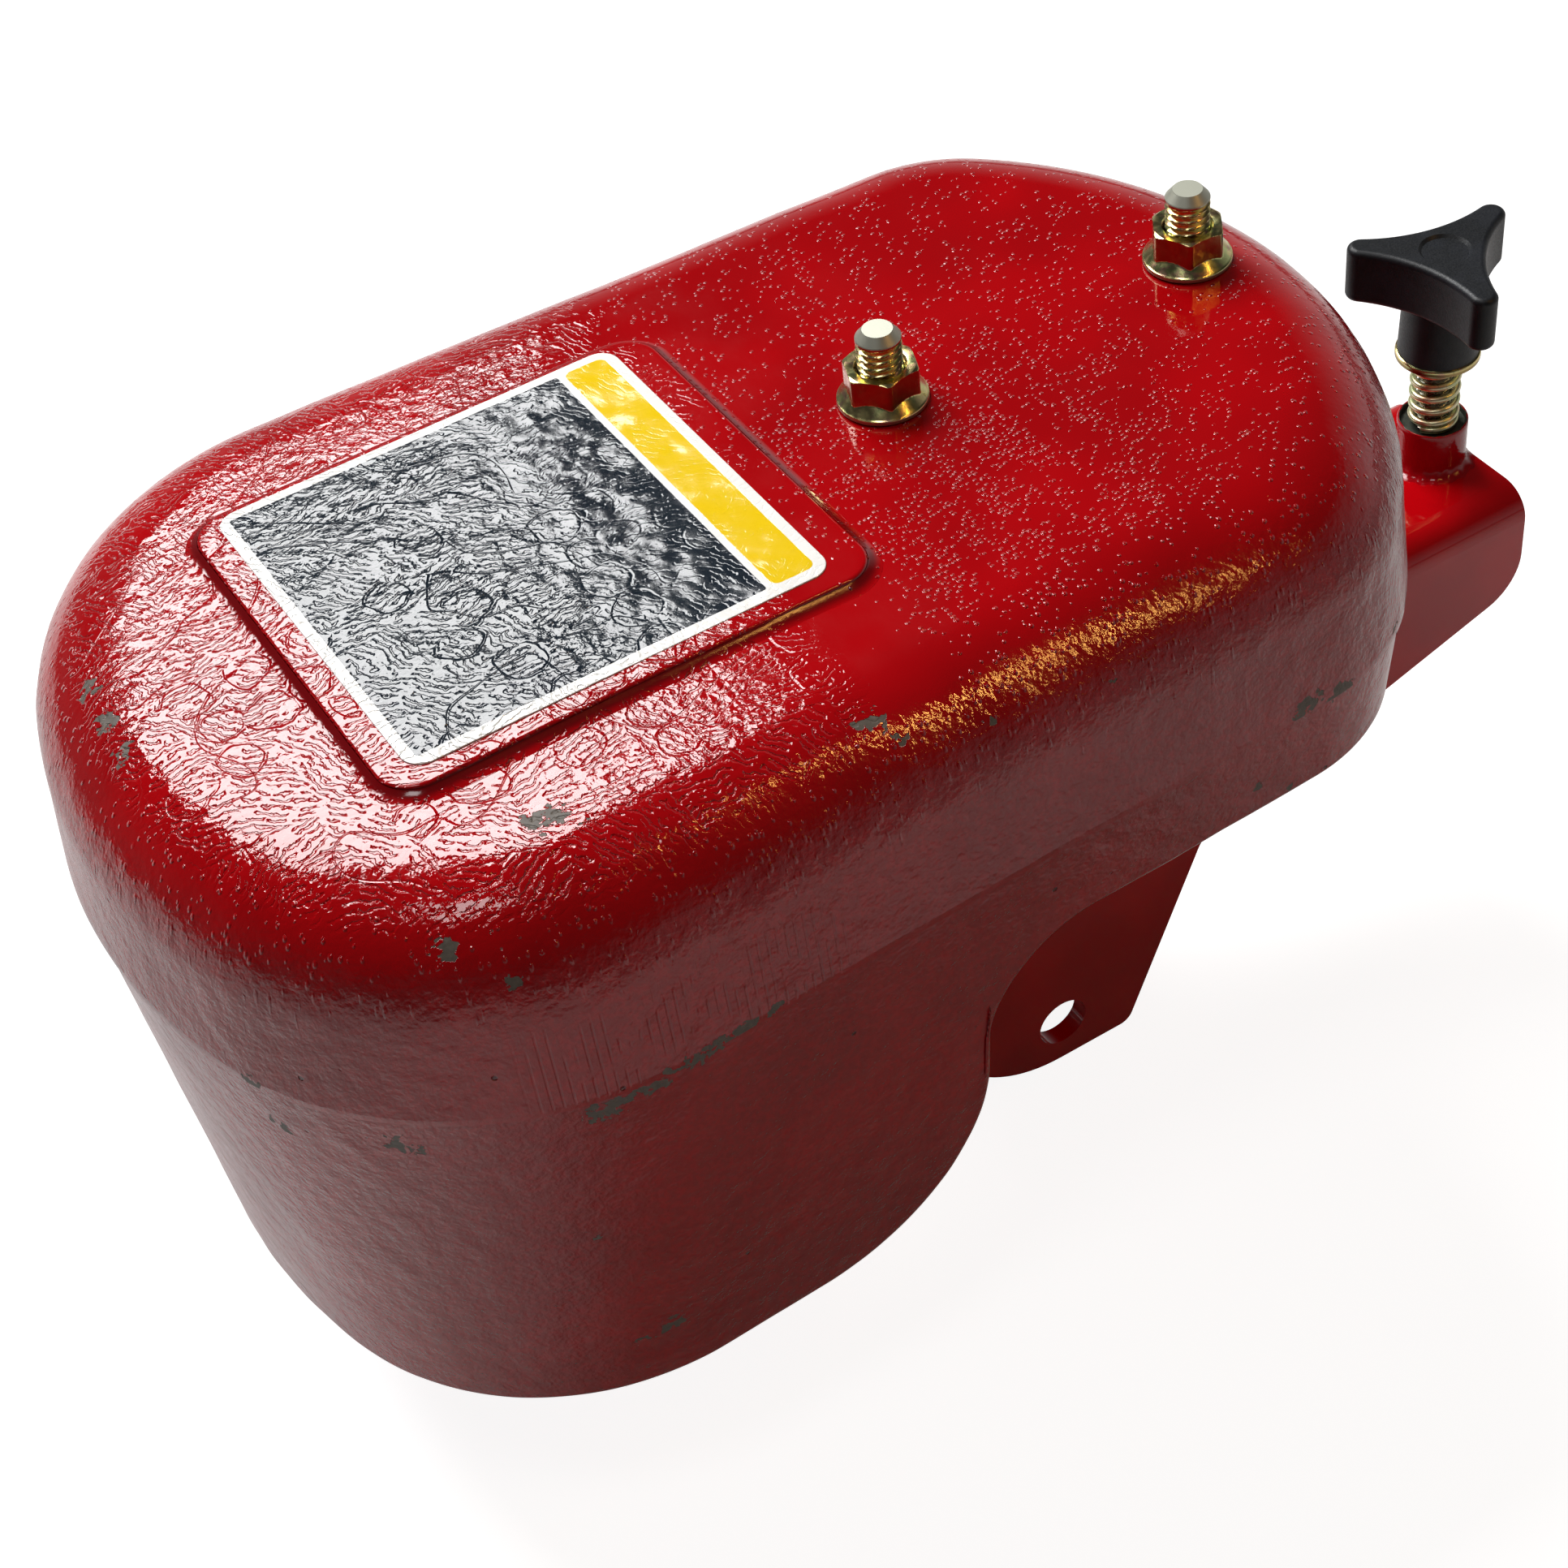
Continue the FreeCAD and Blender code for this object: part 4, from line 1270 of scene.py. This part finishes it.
@dataclass
class CarriageBolt:
    """Round-head bolt that comes up through the web and the casting, with its flange nut."""

    place: str
    x: float
    turn_degrees: float
    thread: Thread = Thread(4.7625, 1.5875, 0.92)
    stand_out: float = 17.4
    head_radius: float = 10.7
    head_height: float = 4.6
    neck_side: float = 9.6
    nut_half_flats: float = 7.145
    nut_corner: float = 8.02
    nut_height: float = 8.8
    nut_chamfer: float = 7.3
    nut_crest: float = 7.1
    flange_radius: float = 9.525
    flange_rim: float = 1.3

    def bolt(self) -> bpy.types.Mesh:
        """Thread above the casting, plain shank inside it, square neck in the web and domed head.

        The dome is part of a sphere through the head's rim. The neck's radius over angle is that of a
        square with round corners: half its side over (cos^9 + sin^9)^(1/9).

        Returns:
            Its mesh.
        """
        surface = Surface.empty()
        end_z = TOP_Z + self.stand_out
        surface.add(self.thread.grid(self.x, TOP_Z - 3.0, end_z, (1.9, 1.6), 2.4))
        shank = [(0.0, SADDLE_Z + 3), (4.6, SADDLE_Z + 3), (4.6, TOP_Z - 2), (0.0, TOP_Z - 2)]
        surface.add(turned(self.x, along_points(shank, 12.0), 32))
        dome_radius = (self.head_radius ** 2 + self.head_height ** 2) / (2 * self.head_height)
        angle = np.linspace(0, math.asin(self.head_radius / dome_radius) * 0.985, 14)
        dome = np.stack([dome_radius * np.sin(angle),
                         SADDLE_Z - self.head_height + dome_radius * (1 - np.cos(angle))], -1)
        rim = np.array([[self.head_radius, SADDLE_Z - 0.35], [self.head_radius - 0.15, SADDLE_Z],
                        [0.0, SADDLE_Z]])
        surface.add(turned(self.x, np.concatenate([dome, rim]), 72))
        turn = np.arange(48) * math.pi / 24
        side = self.neck_side / 2 / (np.abs(np.cos(turn)) ** 9 + np.abs(np.sin(turn)) ** 9) ** (1 / 9)
        rows = np.array([[0.0, SADDLE_Z - 0.1], [1.0, SADDLE_Z - 0.1], [1.0, WEB_TOP], [0.0, WEB_TOP]])
        radius = rows[:, :1] * side
        neck = np.stack([self.x + radius * np.cos(turn), radius * np.sin(turn),
                         np.broadcast_to(rows[:, 1:], radius.shape)], -1)
        return surface.add(neck).mesh(f"carriage_bolt_{self.place}", 24.0)

    def nut(self) -> bpy.types.Mesh:
        """Flange nut as a radius over angle and height.

        Radius in words: the larger of the flange's cone and the hexagon, where the hexagon is half the
        flats' distance over the cosine of the angle from the nearest flat, rounded at its corners, and no
        more than the 30-degree chamfer allows.

        Returns:
            Its mesh.
        """
        angle = np.arange(216) * 2 * math.pi / 216
        from_flat = (angle - math.radians(self.turn_degrees) + math.pi / 6) % (math.pi / 3) - math.pi / 6
        hexagon = np.minimum(self.nut_half_flats / np.cos(from_flat), self.nut_corner)
        rise = np.concatenate([np.linspace(0, 0.5, 4), np.linspace(0.6, 1.3, 5), np.linspace(1.4, 3.6, 14),
                               np.linspace(3.8, 7.4, 8), np.linspace(7.6, self.nut_height, 14)])[:, None]
        lower_round = 0.35 * np.clip(1 - rise / 0.35, 0, 1) ** 2
        upper_round = 0.35 * np.clip((rise - 0.95) / 0.35, 0, 1) ** 2
        rim = self.flange_radius - lower_round - upper_round
        cone = np.where(rise <= self.flange_rim, rim, 9.175 - (rise - self.flange_rim))
        chamfer = self.nut_chamfer + (self.nut_height - rise) / math.tan(math.radians(30))
        radius = np.maximum(cone, np.minimum(hexagon, chamfer))
        crest = np.minimum(radius[-1:], self.nut_crest)
        inner = np.array([6.2, 5.5, 4.95, 4.85, 4.85])[:, None] * np.ones_like(angle)
        inner_rise = np.array([self.nut_height, 8.7, 8.0, 7.6, 0.0])[:, None]
        radius = np.concatenate([radius, crest, inner, radius[:1]])
        height = TOP_Z + np.concatenate([rise, [[self.nut_height]], inner_rise, [[0.0]]])
        grid = np.stack([self.x + radius * np.cos(angle), radius * np.sin(angle),
                         np.broadcast_to(height, radius.shape)], -1)
        return Surface.empty().add(grid).mesh(f"flange_nut_{self.place}_plated", 28.0)

    def build(self, zinc: bpy.types.Material) -> list[bpy.types.Object]:
        """Make and dress the bolt and its nut."""
        return [shown(self.bolt(), zinc, Body.WEIGHT, Slot.ZINC, [f"bolt_{self.place}"]),
                shown(self.nut(), zinc, Body.WEIGHT, Slot.ZINC, [f"flange_nut_{self.place}"])]


# Clamping screw

@dataclass
class ClampScrew:
    """Boss, stud, spring and washer under the knob."""

    thread: Thread = Thread(3.95, 1.411, 0.80)
    boss_radius: float = 8.35
    weld_reach: float = 2.2
    coil_radius: float = 5.15
    wire_radius: float = 0.9
    active_pitch: float = 3.5

    def boss(self) -> bpy.types.Mesh:
        """Round nut with a rippled weld bead at its foot, cut off level with the end of the web.

        The bead is a quarter circle, hollow outwards, whose reach swings by a tenth round the boss.

        Returns:
            Its mesh.
        """
        columns = 160
        angle = np.arange(columns) * 2 * math.pi / columns
        bead = np.radians(np.linspace(0, 90, 9))
        out = 1 - np.sin(bead)
        rise = 1 - np.cos(bead)
        ripple = 1 + 0.10 * np.sin(angle * 17 + 0.8 * np.sin(angle * 3))
        foot = self.boss_radius + self.weld_reach * 1.1 * out[:, None] * ripple
        foot_z = WEB_TOP + self.weld_reach * 1.2 * rise[:, None] * ripple
        wall = along_points([(8.35, WEB_TOP + 3.2), (8.35, BOSS_TOP + 1.0), (8.2, BOSS_TOP + 1.3),
                             (7.9, BOSS_TOP + 1.35), (7.65, BOSS_TOP + 1.1), (7.5, BOSS_TOP), (4.5, BOSS_TOP),
                             (4.05, BOSS_TOP - 0.5), (4.0, WEB_TOP)], 1.2)
        radius = np.concatenate([foot, wall[:, :1] * np.ones(columns), foot[:1]])
        height = np.concatenate([foot_z, wall[:, 1:] * np.ones(columns), foot_z[:1]])
        limit = (WEB_END_X - SCREW_X - 0.05) / np.maximum(np.cos(angle), 1e-3)
        radius = np.minimum(radius, np.where(np.cos(angle) > 0, limit, 99.0))
        grid = np.stack([SCREW_X + radius * np.cos(angle), radius * np.sin(angle), height], -1)
        return Surface.empty().add(grid).mesh("screw_boss", 40.0)

    def stud(self) -> bpy.types.Mesh:
        """Threaded stud from just under the web up into the knob."""
        grid = self.thread.grid(SCREW_X, SADDLE_Z - 1.0, HUB_Z + 14.0, (1.0, 1.0), 1.0, 40)
        return Surface.empty().add(grid).mesh("knob_stud_threaded", 30.0)

    def washer(self) -> bpy.types.Mesh:
        """Stamped washer: rounded on its upper edge, a small bevel on the lower.

        Returns:
            Its mesh.
        """
        profile = [(4.4, WASHER_Z + 0.1), (4.5, WASHER_Z), (9.75, WASHER_Z), (9.9, WASHER_Z + 0.12),
                   (9.9, HUB_Z - 0.45), (9.75, HUB_Z - 0.15), (9.45, HUB_Z), (4.6, HUB_Z), (4.4, HUB_Z - 0.2),
                   (4.4, WASHER_Z + 0.1)]
        grid = turned(SCREW_X, along_points(profile, 1.0), 96)
        return Surface.empty().add(grid).mesh("stamped_washer", 30.0)

    def coil(self) -> bpy.types.Mesh:
        """Spring of round wire with closed ends.

        The wire's middle climbs one wire's thickness in the first and last turn and the active pitch
        between, eased over half a turn. The section is a circle across that path.

        Returns:
            Its mesh.
        """
        low = BOSS_TOP + self.wire_radius + 0.03
        rise = WASHER_Z - self.wire_radius - 0.03 - low
        closed = 2 * self.wire_radius * 1.01
        turns = 2 + (rise - 2 * closed) / self.active_pitch
        turn = np.linspace(0, turns, int(turns * 72))
        eased_pitch = eased(turn, 0.75, 1.25) * (1 - eased(turn, turns - 1.25, turns - 0.75))
        pitch = closed + (self.active_pitch - closed) * eased_pitch
        height = np.concatenate([[0.0], np.cumsum((pitch[1:] + pitch[:-1]) / 2 * np.diff(turn))])
        height = low + height * rise / height[-1]
        angle = turn * 2 * math.pi + math.radians(200)
        path = np.stack([SCREW_X + self.coil_radius * np.cos(angle), self.coil_radius * np.sin(angle),
                         height], -1)
        heading = np.gradient(path, axis=0)
        heading /= np.linalg.norm(heading, axis=1, keepdims=True)
        outward = np.stack([np.cos(angle), np.sin(angle), np.zeros_like(angle)], -1)
        upward = np.cross(heading, outward)
        around = np.arange(16) * 2 * math.pi / 16
        ring = outward[:, None] * np.cos(around)[:, None] + upward[:, None] * np.sin(around)[:, None]
        wire = path[:, None] + self.wire_radius * ring
        first = path[0] + (wire[0] - path[0]) * np.linspace(0, 1, 4)[:-1, None, None]
        last = path[-1] + (wire[-1] - path[-1]) * np.linspace(1, 0, 4)[1:, None, None]
        return Surface.empty().add(np.concatenate([first, wire, last])).mesh("coil_spring", 60.0)

    def build(self, zinc: bpy.types.Material, spring: bpy.types.Material, stud: bpy.types.Material,
              boss: bpy.types.Material) -> list[bpy.types.Object]:
        """Make and dress the boss, stud, washer and spring.

        Args:
            zinc: Finish of the washer.
            spring: Finish of the spring.
            stud: Finish of the stud.
            boss: Finish of the boss.

        Returns:
            The pieces.
        """
        pieces = [shown(self.boss(), boss, Body.WEIGHT, Slot.BRACKET, ["threaded_boss"]),
                  shown(self.stud(), stud, Body.KNOB, Slot.STUD, ["knob_stud"]),
                  shown(self.washer(), zinc, Body.WASHER, Slot.ZINC, ["knob_washer"])]
        coil = bpy.data.objects.new("coil_spring", self.coil())
        bpy.context.scene.collection.objects.link(coil)
        coil.data.materials.append(spring)
        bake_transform(coil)
        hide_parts("compression_spring")
        return [*pieces, coil]


def dress_node(name: str, material: bpy.types.Material) -> None:
    """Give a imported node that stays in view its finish.

    Args:
        name: Name of the node.
        material: The finish.
    """
    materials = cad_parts[name].data.materials
    materials.clear()
    materials.append(material)


# Studio

@dataclass
class Studio:
    """Pale floor, soft lamps, plain surroundings and the camera."""

    camera_place: tuple[float, float, float] = (-0.264843, -0.421224, 0.557575)
    camera_degrees: tuple[float, float, float] = (45.27461695, 5.29073602, -31.73311399)
    lens: float = 68.495
    target: tuple[float, float, float] = (-0.02, 0.0, 0.17)

    def camera(self) -> None:
        """Camera at the angle and distance of the photograph."""
        data = bpy.data.cameras.new("camera")
        data.lens, data.sensor_width, data.sensor_fit = self.lens, 36.0, "HORIZONTAL"
        data.clip_start = 0.01
        made = bpy.data.objects.new("camera", data)
        made.location = self.camera_place
        made.rotation_euler = [math.radians(a) for a in self.camera_degrees]
        bpy.context.scene.collection.objects.link(made)
        bpy.context.scene.camera = made

    def lamp(self, name: str, place: Sequence[float], size: tuple[float, float], radiance: float,
             colour: tuple[float, float, float] = (1, 1, 1), along: Sequence[float] = (1, 0, 0)) -> None:
        """Add a rectangular soft lamp that faces the object.

        Args:
            name: Name of the lamp.
            place: Middle of the lamp in metres.
            size: Its sides in metres, the first along its long way.
            radiance: Brightness of its face, where white paint in full light is about 1.
            colour: Colour of its light.
            along: Way in which its first side runs.
        """
        data = bpy.data.lights.new(name, "AREA")
        data.shape, data.size, data.size_y = "RECTANGLE", size[0], size[1]
        data.energy = radiance * math.pi * size[0] * size[1]
        data.color = colour
        back = np.array(place, float) - self.target
        back /= np.linalg.norm(back)
        right = np.array(along, float) - back * np.dot(along, back)
        right /= np.linalg.norm(right)
        matrix = Matrix(np.column_stack([right, np.cross(back, right), back]).tolist()).to_4x4()
        matrix.translation = place
        made = bpy.data.objects.new(name, data)
        made.matrix_world = matrix
        bpy.context.scene.collection.objects.link(made)

    def floor(self) -> None:
        """Pale floor just under the legs: it looks white, keeps a soft shadow and is open from below."""
        side = 6.0
        corners = [(-side, -side), (side, -side), (side, side), (-side, side)]
        mesh = bpy.data.meshes.new("floor")
        mesh.from_pydata([(x, y, (LOWEST_Z - 0.3) * METRES) for x, y in corners], [], [(0, 1, 2, 3)])
        piece = bpy.data.objects.new("floor", mesh)
        bpy.context.scene.collection.objects.link(piece)
        material = bpy.data.materials.new("pale_floor")
        material.use_nodes = True
        tree = material.node_tree
        tree.nodes.clear()
        path = add(tree, "LightPath").outputs
        shine = add(tree, "Math", {0: path["Is Glossy Ray"], 1: path["Is Transmission Ray"]},
                    operation="MAXIMUM").outputs[0]
        faint = add(tree, "Math", {0: shine, 1: 0.03}, operation="MULTIPLY").outputs[0]
        level = add(tree, "Mix", {0: path["Is Camera Ray"], 2: faint, 3: 0.90}, data_type="FLOAT")
        pale = add(tree, "Mix", {0: path["Is Camera Ray"], 6: (0.66, 0.66, 0.66, 1),
                                           7: (0.34, 0.34, 0.34, 1)}, data_type="RGBA")
        paint = add(tree, "BsdfDiffuse", {"Color": pale.outputs[2]})
        glow = add(tree, "Emission", {"Color": (1, 1, 1, 1), "Strength": level.outputs[0]})
        both = add(tree, "AddShader", {0: paint.outputs[0], 1: glow.outputs[0]})
        below = add(tree, "Math", {0: add(tree, "NewGeometry").outputs["Backfacing"],
                                             1: path["Is Camera Ray"]}, operation="MULTIPLY").outputs[0]
        clear = add(tree, "BsdfTransparent").outputs[0]
        seen = add(tree, "MixShader", {0: below, 1: both.outputs[0], 2: clear}).outputs[0]
        add(tree, "OutputMaterial", {"Surface": seen})
        mesh.materials.append(material)

    def surroundings(self) -> None:
        """White behind the object, white low down in reflections, dim above and a dim even fill."""
        world = bpy.data.worlds.new("studio")
        bpy.context.scene.world = world
        world.use_nodes = True
        tree = world.node_tree
        tree.nodes.clear()
        path = add(tree, "LightPath").outputs
        way = add(tree, "SeparateXYZ", {0: add(tree, "TexCoord").outputs["Generated"]}).outputs
        side = add(tree, "MapRange", {"Value": way[0], "From Min": -0.1, "From Max": 0.9,
                                                "To Min": 0.12, "To Max": 0.60}).outputs[0]
        low = add(tree, "MapRange", {"Value": way[2], "From Min": 0.0, "From Max": 0.5,
                                               "To Min": side, "To Max": 0.03}).outputs[0]
        shine = add(tree, "Math", {0: path["Is Glossy Ray"], 1: path["Is Transmission Ray"]},
                    operation="MAXIMUM").outputs[0]
        fill = add(tree, "Mix", {0: shine, 2: 0.05, 3: low}, data_type="FLOAT").outputs[0]
        level = add(tree, "Mix", {0: path["Is Camera Ray"], 2: fill, 3: 1.0}, data_type="FLOAT")
        back = add(tree, "Background", {"Color": (1, 1, 1, 1), "Strength": level.outputs[0]})
        add(tree, "OutputWorld", {"Surface": back.outputs[0]})

    def build(self) -> None:
        """Set up the whole studio."""
        bpy.context.scene.view_settings.view_transform = "Standard"
        self.camera()
        self.floor()
        self.surroundings()
        self.lamp("window_softbox", (-0.145, 1.077, 1.491), (1.22, 0.87), 13.0)
        self.lamp("overhead_softbox", (-0.54, -0.365, 1.746), (0.42, 0.34), 6.0)
        warm = (1.0, 0.5, 0.12)
        self.lamp("warm_strip", (0.575, -0.805, 1.245), (0.89, 0.018), 42.0, warm, (0.31, -0.63, -0.55))


def main() -> None:
    """Build every sub-assembly in order and report its pieces."""
    logging.basicConfig(level=logging.INFO, format="%(message)s")
    Studio().build()
    zinc = YellowZinc().build()
    pieces = Casting(CastingPlan()).build(IronEnamel().build())
    pieces.append(DecalSheet().build(PrintedVinyl()))
    for place, x, turn in (("near", NEAR_BOLT_X, -19.5), ("far", FAR_BOLT_X, 26.7)):
        pieces += CarriageBolt(place, x, turn).build(zinc)
    spring = YellowZinc("#F0E8C0", "#D2DAA8", "#E6CBA4", "zinc_plated_spring_wire", 0.32).build()
    stud = YellowZinc("#A5A296", "#949886", "#A89A8C", "zinc_plated_stud", 0.24).build()
    pieces += ClampScrew().build(zinc, spring, stud, BossEnamel().build())
    dress_node("mounting_bracket", SheetEnamel().build())
    dress_node("clamp_knob", MouldedNylon().build())
    for piece in pieces:
        LOG.info("%s: %d faces", piece.name, len(piece.data.polygons))


if __name__ == "__main__":
    main()
